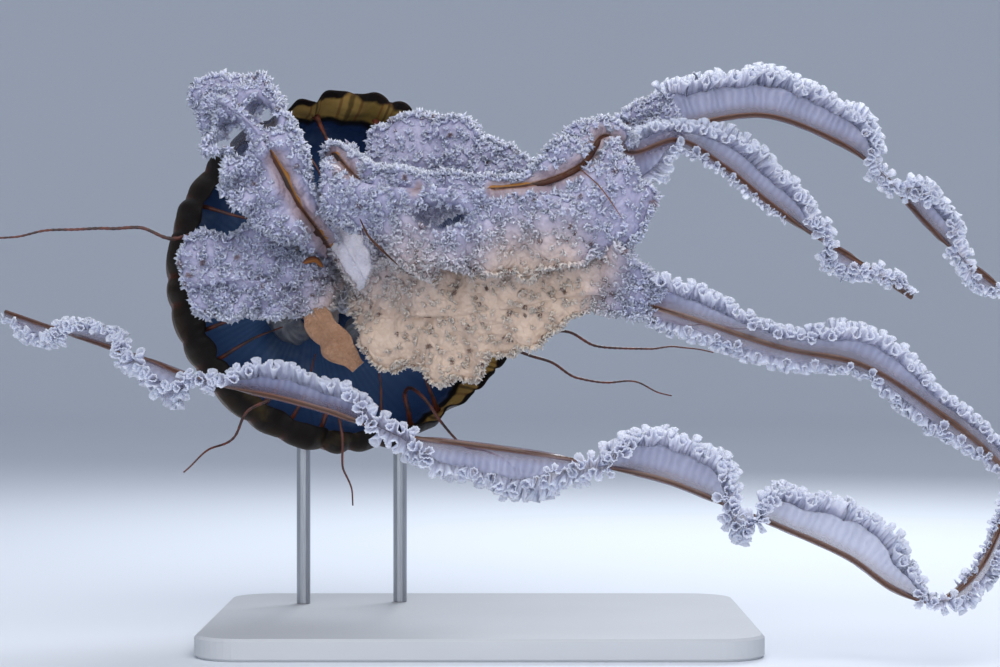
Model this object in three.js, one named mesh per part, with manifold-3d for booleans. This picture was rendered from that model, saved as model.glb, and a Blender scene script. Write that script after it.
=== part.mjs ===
// A Pacific sea nettle held on a plain display stand, in millimetres, +Z up.
// The origin is the middle of the stand's underside. The bell's mouth faces -Y and a little +X,
// its crown points +Y, and the four frilled arms stream out of the mouth towards -Y and +X.
import * as THREE from "three";
import { mergeVertices } from "three/addons/utils/BufferGeometryUtils.js";
import Module from "manifold-3d";

const wasm = await Module();
wasm.setup();

const { cos, sin, PI, hypot, atan2, abs, min, max, round } = Math;
const { lerp, clamp, smoothstep, degToRad } = THREE.MathUtils;

// ---------------------------------------------------------------- driving dimensions

const GAP = 0.3; // clear space between two pieces that touch in life
const UP = new THREE.Vector3(0, 1, 0); // the axis that three.js turns its shapes about

const BELL = {
  centre: new THREE.Vector3(-75, 25, 205), // middle of the mouth
  yaw: 19, // degrees that the mouth turns from -Y to +X
  pitch: 6, // degrees that the mouth turns up
  height: 82,
  edgeRadius: 97.5, // where dome and rim meet, before the rim rolls
  edgeHeight: 14,
  crownWall: 8,
  edgeWall: 3.2,
  sectors: 40,
  dentAngle: 215, // direction, seen from the mouth's side, towards which the rim rolls in
};

const RIM = {
  depth: 25, // from the dome's edge to a lappet's tip
  lappets: 32,
  scallop: 4.5, // how far a cleft cuts back into the rim
  puff: 1.6, // how far a lappet swells outwards
  wall: 2.4,
  innerRadius: 92, // radius of the dome's edge where the rim flares
  rolledRadius: 103, // and where it rolls in
  startAngle: 88, // slope of the rim where it leaves the dome, in degrees
  flareAngle: 28,
  rollAngle: 158,
  slices: 2,
};

const MANUBRIUM = { rootRadius: 22, waistRadius: 13, mouthRadius: 17, root: -66, mouth: 13 };

const GONAD = { count: 4, ring: 34, length: 17, breadth: 10, thickness: 5, phase: 45 };

const TENTACLE = {
  sides: 4,
  steps: 7,
  rootWidth: 1.9,
  rootThickness: 1.1,
  tipRadius: 0.6,
  clefts: 32,
  sensePerOctant: 4, // each fourth cleft holds a sense organ and no tentacle
  start: 9, // distance down the rim
};

const FRILL = {
  step: 13, // spacing of the sections along an arm
  keel: 1.6, // half thickness of the arm's keel
  thickest: 8,
  share: 0.32, // half thickness of a wing as a share of its width
  wave: 0.08, // how much a wing's width swells and shrinks
  waveLength: 27,
  drawIn: 0.9, // how strongly a bend draws in the wing on its inside
};

const STAND = {
  width: 300,
  depth: 230,
  thickness: 12,
  corner: 26,
  bevel: 1.5,
  rodRadius: 4,
  rods: [
    [-104, 56],
    [-48, 66],
  ],
  cupRadius: 9,
  cupDepth: 9,
};

// ---------------------------------------------------------------- solids

// A closed manifold-3d solid of a three.js geometry, turned so that its faces point out.
function solidOf(geometry) {
  const bare = new THREE.BufferGeometry();
  bare.setAttribute("position", geometry.getAttribute("position"));
  bare.setIndex(geometry.index);
  const merged = mergeVertices(bare, 1e-3);
  const points = merged.attributes.position.array;
  const corners = new Uint32Array(merged.index.array);
  const build = (triangles) => {
    return new wasm.Manifold(new wasm.Mesh({ numProp: 3, vertProperties: points, triVerts: triangles }));
  };
  const made = build(corners);
  return made.volume() > 0 ? made : build(corners.reverse());
}

function geometryOf(solid) {
  const mesh = solid.getMesh();
  const points = new Float32Array(mesh.numVert * 3);
  for (let i = 0; i < mesh.numVert; i++) {
    points.set(mesh.vertProperties.subarray(i * mesh.numProp, i * mesh.numProp + 3), i * 3);
  }
  const geometry = new THREE.BufferGeometry();
  geometry.setAttribute("position", new THREE.BufferAttribute(points, 3));
  geometry.setIndex(new THREE.BufferAttribute(mesh.triVerts, 1));
  geometry.computeVertexNormals();
  return geometry;
}

// Moves every point of a geometry to where place(point) says.
function reshape(geometry, place) {
  const position = geometry.getAttribute("position");
  const point = new THREE.Vector3();
  for (let i = 0; i < position.count; i++) {
    const moved = place(point.fromBufferAttribute(position, i));
    position.setXYZ(i, moved.x, moved.y, moved.z);
  }
  return geometry;
}

// A capped tube of the given sections. section(share, corner) gives a corner's place, and
// section(share, null) the middle of the cap.
function tube(sides, steps, section) {
  const straight = new THREE.CylinderGeometry(1, 1, 1, sides, steps);
  return reshape(straight, (p) => {
    const turn = round((atan2(p.x, p.z) / (2 * PI)) * sides);
    const onAxis = hypot(p.x, p.z) < 0.5;
    return section(p.y + 0.5, onAxis ? null : (turn + sides) % sides);
  });
}

const largest = (solid) => solid.decompose().reduce((a, b) => (a.volume() > b.volume() ? a : b));

// ---------------------------------------------------------------- the bell's own frame

const mouthWay = new THREE.Vector3(
  sin(degToRad(BELL.yaw)) * cos(degToRad(BELL.pitch)),
  -cos(degToRad(BELL.yaw)) * cos(degToRad(BELL.pitch)),
  sin(degToRad(BELL.pitch)),
);
const bellTurn = new THREE.Quaternion().setFromUnitVectors(UP, mouthWay.clone().negate());

// A place given by its radius and angle about the bell's axis, and its height towards the crown.
function inBell(radius, angle, height) {
  const local = new THREE.Vector3(radius * cos(angle), height, radius * sin(angle));
  return local.applyQuaternion(bellTurn).add(BELL.centre);
}

// 1 where the rim rolls in, 0 where it flares.
const rollAt = (angle) => smoothstep(0.5 + 0.5 * cos(angle - degToRad(BELL.dentAngle)), 0, 1);
const edgeRadius = (angle) => lerp(RIM.innerRadius, RIM.rolledRadius, rollAt(angle));

// 0 in a cleft between two lappets, 1 along the middle of a lappet.
const lappetAt = (angle) => abs(sin((angle * RIM.lappets) / 2)) ** 0.6;

// The rim's middle surface: its radius, height and slope at a distance down from the dome's edge.
function rimAt(angle, distance) {
  const end = lerp(RIM.flareAngle, RIM.rollAngle, rollAt(angle));
  const slope = (d) => degToRad(lerp(RIM.startAngle, end, smoothstep(d / RIM.depth, 0, 1)));
  let radius = edgeRadius(angle);
  let height = BELL.edgeHeight;
  for (let i = 0; i < 8; i++) {
    const s = slope((distance * (i + 0.5)) / 8);
    radius += (cos(s) * distance) / 8;
    height -= (sin(s) * distance) / 8;
  }
  return { radius, height, slope: slope(distance) };
}

// ---------------------------------------------------------------- bell, rim, mouth and gonads

function domeProfile() {
  const stations = [0, 0.25, 0.48, 0.69, 0.86, 1];
  const outer = stations.map((s) => {
    const r = BELL.edgeRadius * sin((s * PI) / 2);
    return [r, lerp(BELL.edgeHeight, BELL.height, cos((s * PI) / 2) ** 0.86)];
  });
  const inner = stations.map((s, i) => {
    const wall = lerp(BELL.crownWall, BELL.edgeWall, s);
    const lean = (s * PI) / 2;
    return [max(0, outer[i][0] - wall * sin(lean)), outer[i][1] - wall * cos(lean)];
  });
  inner[inner.length - 1][1] = BELL.edgeHeight;
  return [...outer, ...inner.reverse()].map(([r, h]) => new THREE.Vector2(r, h));
}

function bellSolid() {
  const dome = new THREE.LatheGeometry(domeProfile(), BELL.sectors);
  return solidOf(
    reshape(dome, (p) => {
      const radius = hypot(p.x, p.z);
      const angle = atan2(p.z, p.x);
      const low = smoothstep(1 - (p.y - BELL.edgeHeight) / (BELL.height - BELL.edgeHeight), 0, 1);
      const swell = lerp(1, edgeRadius(angle) / BELL.edgeRadius, low);
      return inBell(radius * swell, angle, p.y);
    }),
  );
}

function rimSolid() {
  const across = [...Array(RIM.slices + 1).keys()].map((i) => i / RIM.slices);
  const collar = [...across.map((s) => [1, s]), ...across.reverse().map((s) => [-1, s])];
  collar.push(collar[0]);
  const flat = collar.map(([side, s]) => new THREE.Vector2(RIM.depth + side, s));
  return solidOf(
    reshape(new THREE.LatheGeometry(flat, RIM.lappets * 3), (p) => {
      const angle = atan2(p.z, p.x);
      const side = round(hypot(p.x, p.z) - RIM.depth);
      const lappet = lappetAt(angle);
      const depth = RIM.depth - RIM.scallop * (1 - lappet);
      const band = rimAt(angle, GAP + p.y * (depth - GAP));
      const offset = (side * RIM.wall * (1 - 0.45 * p.y)) / 2 + RIM.puff * lappet * sin(PI * 0.75 * p.y);
      return inBell(band.radius + offset * sin(band.slope), angle, band.height + offset * cos(band.slope));
    }),
  );
}

function manubriumSolid(grow = 0) {
  const { rootRadius, waistRadius, mouthRadius, root, mouth } = MANUBRIUM;
  const profile = [
    [0, -root],
    [rootRadius + grow, -root],
    [waistRadius + 3 + grow, -root - 16],
    [waistRadius + grow, -root - 36],
    [waistRadius + 1 + grow, -mouth + 12],
    [mouthRadius + grow, -mouth - grow],
    [0, -mouth - grow],
  ];
  const stalk = new THREE.LatheGeometry(
    profile.map(([r, h]) => new THREE.Vector2(r, h)),
    16,
  );
  return solidOf(
    reshape(stalk, (p) => {
      const angle = atan2(p.z, p.x);
      return inBell(hypot(p.x, p.z) * (1 + 0.12 * cos(4 * angle)), angle, p.y);
    }),
  );
}

// A horseshoe-backed pad on the bell's inner face.
function gonadSolid(index) {
  const angle = degToRad(GONAD.phase + (360 / GONAD.count) * index);
  const height = BELL.height - BELL.crownWall - 17;
  const pad = new THREE.SphereGeometry(1, 10, 7);
  return solidOf(
    reshape(pad, (p) => {
      const bend = 6 * (p.x * p.x - 0.4);
      const out = GONAD.ring + GONAD.breadth * p.z - bend;
      const along = GONAD.length * p.x;
      const up = GONAD.thickness * p.y - 0.22 * (out - 30);
      return inBell(hypot(out, along), angle + atan2(along, out), height + up);
    }),
  );
}

// ---------------------------------------------------------------- arms

// Each row is a station of an arm's keel: x, y, z, the roll of its first wing, and the widths of
// its first and second wings, which lie opposite each other. Roll 0 stands square to the keel on
// its left hand as seen from -Y, and a growing roll turns the wing towards -Y.
const ARMS = {
  arm_a: [
    [-79, 8, 209, 0, 5, 4],
    [-88, -50, 226, 0, 14, 8],
    [-98, -65, 241, 0, 30, 12],
    [-113, -76, 270, 0, 40, 20],
    [-125, -72, 284, 0, 38, 24],
    [-139, -60, 292, 0, 30, 18],
    [-152, -48, 286, 0, 14, 10],
  ],
  arm_b: [
    [-70, 8, 216, 0, 4, 4],
    [-77, -28, 250, 0, 4, 13],
    [-79, -45, 267, 0, 6, 12],
    [-60, -83, 249, 0, 13, 29],
    [-26, -103, 245, 0, 9, 48],
    [21, -109, 246, 0, 5, 52],
    [51, -108, 256, 0, 32, 54],
    [65, -88, 273, 0, 10, 32],
    [82, -60, 267, 0, 11, 20],
    [108, -45, 275, 0, 8, 6],
    [133, -34, 262, 0, 17, 4],
    [159, -26, 242, 0, 16, 4],
    [183, -17, 226, 60, 11, 3],
    [201, -10, 216, 165, 12, 3],
    [221, -3, 204, 90, 8, 3],
    [243, 5, 190, 0, 4, 2],
  ],
  arm_c: [
    [-61, 6, 210, 0, 4, 4],
    [-24, -21, 241, 0, 60, 9],
    [8, -32, 246, 0, 36, 9],
    [44, -34, 252, 0, 8, 22],
    [66, -32, 261, 0, 18, 34],
    [95, -24, 277, 0, 26, 9],
    [122, -15, 287, 0, 27, 3],
    [161, -2, 292, 0, 25, 3],
    [201, 12, 279, 0, 21, 3],
    [228, 22, 262, 110, 10, 3],
    [255, 32, 234, 0, 15, 3],
    [274, 37, 217, 90, 9, 3],
    [292, 42, 203, 170, 8, 3],
    [303, 45, 194, 90, 4, 2],
  ],
  arm_d: [
    [-67, 8, 199, 0, 4, 4],
    [-60, -24, 188, 0, 26, 13],
    [-43, -50, 180, 0, 38, 32],
    [-16, -66, 179, 0, 34, 38],
    [16, -75, 183, 0, 42, 26],
    [60, -86, 190, 0, 34, 10],
    [100, -97, 181, 0, 14, 8],
    [155, -106, 163, 0, 9, 9],
    [200, -105, 153, 0, 18, 5],
    [240, -103, 128, 0, 8, 9],
    [265, -108, 107, 0, 8, 5],
    [274, -115, 90, 0, 6, 4],
    [263, -123, 61, 0, 6, 4],
    [250, -127, 43, 20, 7, 4],
    [232, -129, 33, 90, 9, 3],
    [211, -128, 40, 165, 18, 3],
    [188, -126, 56, 180, 28, 3],
    [152, -124, 72, 170, 20, 3],
    [136, -123, 78, 55, 18, 3],
    [113, -122, 88, 165, 23, 3],
    [90, -121, 96, 180, 26, 3],
    [52, -117, 104, 60, 14, 3],
    [21, -114, 109, 0, 24, 3],
    [-10, -110, 113, 0, 19, 3],
    [-41, -106, 117, 85, 13, 3],
    [-78, -98, 129, 180, 13, 3],
    [-105, -91, 136, 175, 16, 3],
    [-143, -76, 144, 90, 8, 3],
    [-161, -66, 149, 10, 16, 3],
    [-178, -56, 155, 60, 11, 3],
    [-208, -36, 164, 165, 10, 2],
    [-239, -15, 173, 20, 11, 2],
    [-268, 5, 182, 0, 4, 2],
  ],
  arm_d_lobe: [
    [-78, 2, 198, 0, 4, 4],
    [-98, -28, 196, 0, 18, 18],
    [-125, -41, 199, 0, 28, 31],
    [-146, -42, 197, 0, 28, 31],
    [-158, -38, 193, 0, 14, 16],
  ],
};

// The station numbers at which each arm is cut into lengths.
const CUTS = {
  arm_a: [0, 3, 6],
  arm_b: [0, 3, 6, 8, 11, 15],
  arm_c: [0, 3, 5, 8, 13],
  arm_d: [0, 3, 6, 10, 14, 18, 22, 27, 32],
  arm_d_lobe: [0, 4],
};

const keels = Object.fromEntries(
  Object.entries(ARMS).map(([name, rows]) => {
    const places = rows.map(([x, y, z]) => new THREE.Vector3(x, y, z));
    return [name, new THREE.CatmullRomCurve3(places, false, "catmullrom", 0.5)];
  }),
);

// The frame of an arm at a station number: its keel point, the outward way of its first wing, the
// way across the wings, and both widths. On the inside of a bend a wing is drawn in, as frills are.
function armAt(name, station) {
  const rows = ARMS[name];
  const last = rows.length - 1;
  const share = clamp(station / last, 0, 1);
  const keel = keels[name].getPoint(share);
  const way = keels[name].getTangent(share);
  const i = min(last - 1, Math.floor(share * last));
  const part = smoothstep(share * last - i, 0, 1);
  const [roll, ...widths] = [3, 4, 5].map((column) => lerp(rows[i][column], rows[i + 1][column], part));
  const across = new THREE.Vector3().crossVectors(way, UP).normalize();
  const front = new THREE.Vector3().crossVectors(way, across);
  const out = across.multiplyScalar(cos(degToRad(roll))).addScaledVector(front, sin(degToRad(roll)));
  const [back, ahead] = [max(0, share - 0.4 / last), min(1, share + 0.4 / last)];
  const apart = keels[name].getPoint(back).distanceTo(keels[name].getPoint(ahead));
  const bend = keels[name].getTangent(ahead).sub(keels[name].getTangent(back));
  const bendOut = bend.dot(out) / apart;
  const drawnIn = (width, side) => width / (1 + FRILL.drawIn * width * max(0, bendOut * side));
  const thick = new THREE.Vector3().crossVectors(way, out);
  return { keel, out, thick, widths: widths.map((width, k) => drawnIn(width, 1 - 2 * k)) };
}

// The outline across an arm: two wings, each narrow at the keel and swollen where its frill gathers.
function armSection([w1, w2]) {
  const [t1, t2] = [w1, w2].map((w) => clamp(FRILL.share * w, FRILL.keel * 0.8, FRILL.thickest));
  const half = [
    [w1, 0.35 * t1],
    [0.62 * w1, t1],
    [0, FRILL.keel],
    [-0.62 * w2, t2],
    [-w2, 0.35 * t2],
  ];
  return [...half, ...half.map(([u, v]) => [u, -v]).reverse()];
}

function lengthBetween(name, from, to) {
  const keelPoints = [...Array(25).keys()].map((i) => armAt(name, lerp(from, to, i / 24)).keel);
  return keelPoints.slice(1).reduce((sum, point, i) => sum + point.distanceTo(keelPoints[i]), 0);
}

// A stretch of an arm, short of its neighbours by the gap.
function armSolid(name, from, to) {
  const length = lengthBetween(name, from, to);
  const trim = ((GAP / 2 + 0.1) / length) * (to - from);
  const steps = max(3, round(length / FRILL.step));
  const section = (share, corner) => {
    const { keel, out, thick, widths } = armAt(name, lerp(from + trim, to - trim, share));
    if (corner === null) return keel;
    const wave = 1 + FRILL.wave * sin((2 * PI * share * length) / FRILL.waveLength);
    const [u, v] = armSection(widths.map((w) => w * wave))[corner];
    return keel.clone().addScaledVector(out, u).addScaledVector(thick, v);
  };
  return solidOf(tube(10, steps, section));
}

// ---------------------------------------------------------------- tentacles

// Trailing tentacles by cleft number: how far out of the bell they reach, and how far they swing
// round it, in degrees. The others are drawn up short behind the arms.
const TRAILING = {
  1: { reach: 96, swing: -16, lift: 6 },
  15: { reach: 128, swing: 8, lift: -22 },
  21: { reach: 58, swing: -9, lift: 16 },
  23: { reach: 36, swing: 8, lift: 8 },
  26: { reach: 46, swing: 12, lift: 20 },
  29: { reach: 104, swing: 13, lift: 6 },
  30: { reach: 128, swing: 10, lift: -4 },
  31: { reach: 150, swing: 4, lift: -10 },
};

// A tentacle's path, as radius, angle in degrees and height stations about the bell's axis.
function tentaclePath(cleft) {
  const degrees = (360 / TENTACLE.clefts) * cleft;
  const band = rimAt(degToRad(degrees), TENTACLE.start);
  const inset = RIM.wall / 2 + TENTACLE.rootThickness + GAP + 0.5;
  const r = band.radius - inset * sin(band.slope);
  const h = band.height - inset * cos(band.slope);
  const start = [
    [r, degrees, h],
    [r - 9, degrees, h - 7],
    [r - 20, degrees, h - 14],
  ];
  const trail = TRAILING[cleft];
  const turn = trail ? trail.swing : cleft % 2 ? 3 : -3;
  const rest = trail
    ? [
        [r - 22, degrees + turn * 0.1, h - 25],
        [r - 10, degrees + turn * 0.3, h - 35],
        [r + 12, degrees + turn * 0.5, h - 38],
        [r + trail.reach * 0.45, degrees + turn * 0.6, h - 34 - trail.lift * 0.3],
        [r + trail.reach * 0.75, degrees + turn * 0.9, h - 36 - trail.lift * 0.7],
        [r + trail.reach, degrees + turn, h - 32 - trail.lift],
      ]
    : [
        [r - 33, degrees + turn * 0.4, h - 18],
        [r - 45, degrees + turn, h - 18],
      ];
  return new THREE.CatmullRomCurve3([...start, ...rest].map(([a, b, c]) => inBell(a, degToRad(b), c)));
}

function tentacleSolid(cleft) {
  const path = tentaclePath(cleft);
  const steps = TENTACLE.steps + (TRAILING[cleft] ? 5 : 0);
  const section = (share, corner) => {
    const middle = path.getPointAt(share);
    const way = path.getTangentAt(share);
    const wide = new THREE.Vector3().crossVectors(way, mouthWay).normalize();
    const thick = new THREE.Vector3().crossVectors(way, wide);
    if (corner === null) return middle;
    const slim = 1 - (1 - share) ** 2;
    const a = (2 * PI * corner) / TENTACLE.sides;
    middle.addScaledVector(wide, lerp(TENTACLE.rootWidth, TENTACLE.tipRadius, slim) * cos(a));
    return middle.addScaledVector(thick, lerp(TENTACLE.rootThickness, TENTACLE.tipRadius, slim) * sin(a));
  };
  return solidOf(tube(TENTACLE.sides, steps, section));
}

// ---------------------------------------------------------------- stand

function standBase() {
  const { width, depth, thickness, corner, bevel } = STAND;
  const w = width / 2 - bevel;
  const d = depth / 2 - bevel;
  const r = corner - bevel;
  const plan = new THREE.Shape();
  plan.moveTo(-w + r, -d);
  plan.lineTo(w - r, -d).absarc(w - r, -d + r, r, -PI / 2, 0, false);
  plan.lineTo(w, d - r).absarc(w - r, d - r, r, 0, PI / 2, false);
  plan.lineTo(-w + r, d).absarc(-w + r, d - r, r, PI / 2, PI, false);
  plan.lineTo(-w, -d + r).absarc(-w + r, -d + r, r, PI, PI * 1.5, false);
  const slab = new THREE.ExtrudeGeometry(plan, {
    depth: thickness - 2 * bevel,
    bevelEnabled: true,
    bevelSize: bevel,
    bevelThickness: bevel,
    bevelSegments: 1,
    curveSegments: 5,
  });
  slab.translate(0, 0, bevel);
  slab.deleteAttribute("uv");
  slab.deleteAttribute("normal");
  slab.setIndex([...Array(slab.getAttribute("position").count).keys()]);
  return solidOf(slab);
}

// An upright rod from the base to a cup that takes the shape of the bell's back.
function standRod([x, y], bell) {
  const top = BELL.centre.z;
  const foot = STAND.thickness + GAP;
  const straight = (radius, low) => {
    const bar = new THREE.CylinderGeometry(radius, radius, top - low, 16);
    bar.rotateX(PI / 2).translate(x, y, (top + low) / 2);
    return solidOf(bar);
  };
  const below = (solid) => solid.subtract(bell.translate([0, 0, -GAP - 0.15])).decompose();
  const underside = (solid) => solid.boundingBox().min[2];
  const lowest = (parts) => parts.reduce((a, b) => (underside(a) < underside(b) ? a : b));
  const rod = lowest(below(straight(STAND.rodRadius, foot)));
  const cupFoot = rod.boundingBox().max[2] - STAND.cupDepth;
  return rod.add(lowest(below(straight(STAND.cupRadius, cupFoot))));
}

// ---------------------------------------------------------------- materials and assembly

function finish(color, roughness, metalness = 0) {
  return new THREE.MeshStandardMaterial({ color, roughness, metalness });
}

const DOME = finish(0x2b3a45, 0.35);
const RIM_BROWN = finish(0x4a3a1c, 0.45);
const FLESH = finish(0xcdbba6, 0.5);
const LACE = finish(0xc9cede, 0.55);
const RUST = finish(0x5b2212, 0.5);
const BOARD = finish(0xbabcc0, 0.5);
const STEEL = finish(0xb9bcc0, 0.3, 1);

const seaNettle = new THREE.Group();

function add(name, solid, material) {
  const mesh = new THREE.Mesh(geometryOf(solid), material);
  mesh.name = name;
  seaNettle.add(mesh);
  return solid;
}

const bell = add("bell", bellSolid(), DOME);
add("bell_rim", rimSolid(), RIM_BROWN);

const bellSpace = bell.add(bell.translate(mouthWay.clone().multiplyScalar(GAP + 0.1).toArray()));
add("manubrium", largest(manubriumSolid().subtract(bellSpace)), FLESH);
const manubriumSpace = manubriumSolid(GAP);

for (let i = 0; i < GONAD.count; i++) {
  const pad = gonadSolid(i).subtract(bellSpace).subtract(manubriumSpace);
  add(`gonad_${i + 1}`, largest(pad), FLESH);
}

for (const [name, cuts] of Object.entries(CUTS)) {
  for (let i = 0; i + 1 < cuts.length; i++) {
    const stretch = armSolid(name, cuts[i], cuts[i + 1]);
    const label = cuts.length > 2 ? `${name}_${i + 1}` : name;
    add(label, i === 0 ? largest(stretch.subtract(manubriumSpace)) : stretch, LACE);
  }
}

for (let cleft = 0, number = 1; cleft < TENTACLE.clefts; cleft++) {
  if (cleft % TENTACLE.sensePerOctant === 0) continue;
  add(`tentacle_${String(number++).padStart(2, "0")}`, tentacleSolid(cleft), RUST);
}

add("stand_base", standBase(), BOARD);
STAND.rods.forEach((place, i) => add(`stand_rod_${i + 1}`, standRod(place, bell), STEEL));

export default seaNettle;
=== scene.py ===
"""A Pacific sea nettle on a plain display stand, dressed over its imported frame.

The animal swims with its bell tipped, so that its mouth and its four frilled arms face -Y.
All places are in the frame's own axes. Sizes are given in millimetres and turned to metres
where a mesh is made.
"""

from __future__ import annotations

import logging
import math
from dataclasses import dataclass, field
from enum import Enum
from itertools import groupby

import bmesh
import bpy
import numpy as np
from bpy.types import Material, Mesh, Node, NodeTree, Object
from bpy.types import NodeSocket as Socket
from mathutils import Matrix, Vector
from numpy import ndarray as Array


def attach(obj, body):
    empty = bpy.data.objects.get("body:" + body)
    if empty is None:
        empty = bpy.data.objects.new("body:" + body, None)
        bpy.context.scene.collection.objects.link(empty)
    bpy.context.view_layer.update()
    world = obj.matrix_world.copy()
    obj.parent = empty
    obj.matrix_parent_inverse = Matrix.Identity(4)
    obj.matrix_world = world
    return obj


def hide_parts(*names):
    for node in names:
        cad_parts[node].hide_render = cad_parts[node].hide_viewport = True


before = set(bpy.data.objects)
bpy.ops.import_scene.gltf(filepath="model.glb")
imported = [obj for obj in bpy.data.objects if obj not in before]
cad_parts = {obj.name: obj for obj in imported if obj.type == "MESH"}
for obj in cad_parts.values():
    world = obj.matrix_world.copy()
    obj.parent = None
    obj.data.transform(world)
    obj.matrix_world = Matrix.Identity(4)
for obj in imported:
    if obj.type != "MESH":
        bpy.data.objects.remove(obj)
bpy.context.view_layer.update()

MM = 0.001
TURN = 2 * math.pi
BAKE_MAP = "OFBake"
PATTERN_MAP = "Pattern"

log = logging.getLogger("sea nettle")


# ---------- numbers along and across


def smoothstep(x: Array | float) -> Array:
    """Eases x from 0 to 1 with level ends."""
    x = np.clip(x, 0.0, 1.0)
    return x * x * (3 - 2 * x)


def unit(vectors: Array) -> Array:
    """Brings vectors, along the last axis, to length 1."""
    return vectors / np.maximum(np.linalg.norm(vectors, axis=-1, keepdims=True), 1e-9)


def mix(a: Array | float, b: Array | float, share: Array | float) -> Array:
    """Goes from a to b as share goes from 0 to 1."""
    return a + (b - a) * share


def walked(points: Array) -> Array:
    """Gives the distance walked along a line of points, from 0 at its first point."""
    steps = np.linalg.norm(np.diff(points, axis=0), axis=-1)
    return np.concatenate([[0.0], np.cumsum(steps)])


class Waviness:
    """Smooth, repeatable unevenness along a line or over a sheet."""

    KNOTS = 512
    LANES = 64

    def __init__(self, seed: int) -> None:
        """Draws the tables of heights from a seed.

        Args:
            seed: the seed that the heights are drawn from.
        """
        draw = np.random.default_rng(seed)
        self.heights = draw.uniform(-1, 1, self.KNOTS)
        self.field = draw.uniform(-1, 1, (self.KNOTS, self.LANES))

    def line(self, x: Array, cell: float) -> Array:
        """Gives a height from -1 to 1 at each x, which changes over about one cell.

        Args:
            x: distances along the line.
            cell: the length of a cell.

        Returns:
            The heights.
        """
        knot = np.floor(x / cell).astype(int)
        share = smoothstep(x / cell - knot)
        return mix(self.heights[knot % self.KNOTS], self.heights[(knot + 1) % self.KNOTS], share)

    def sheet(self, x: Array, y: Array, cell: float) -> Array:
        """Gives a height from -1 to 1 at each x and y, which changes over about one cell.

        Args:
            x: distances one way.
            y: distances the other way.
            cell: the length of a cell.

        Returns:
            The heights.
        """
        x, y = np.broadcast_arrays(x / cell, y / cell)
        i, j = np.floor(x).astype(int), np.floor(y).astype(int)
        a, b = smoothstep(x - i), smoothstep(y - j)
        i0, i1 = i % self.KNOTS, (i + 1) % self.KNOTS
        j0, j1 = j % self.LANES, (j + 1) % self.LANES
        low = mix(self.field[i0, j0], self.field[i1, j0], a)
        return mix(low, mix(self.field[i0, j1], self.field[i1, j1], a), b)


def sheet_frame(points: Array) -> tuple[Array, Array]:
    """Finds a sheet's own directions at each of its points.

    Args:
        points: rows x columns x 3 places.

    Returns:
        The unit vectors along the rows and square to the sheet.
    """
    along = unit(np.gradient(points, axis=1))
    normal = unit(np.cross(along, np.gradient(points, axis=0)))
    return along, normal


# ---------- meshes


@dataclass
class Strip:
    """A rectangular patch of skin.

    Attributes:
        points: rows x columns x 3 places, in millimetres.
        marks: numbers that its finish reads, rows x columns, by name. tone runs from 0 at the
            root to 1 at a pale frilled edge, and warmth from 0 for lavender to 1 for cream.
        pattern: rows x columns x 2 places of the patch on its pattern, where it has one.
        root: where a tuft stands on the skin that it covers, along it and across it.
    """

    points: Array
    marks: dict[str, Array] = field(default_factory=dict)
    pattern: Array | None = None
    root: Array | None = None


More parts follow.
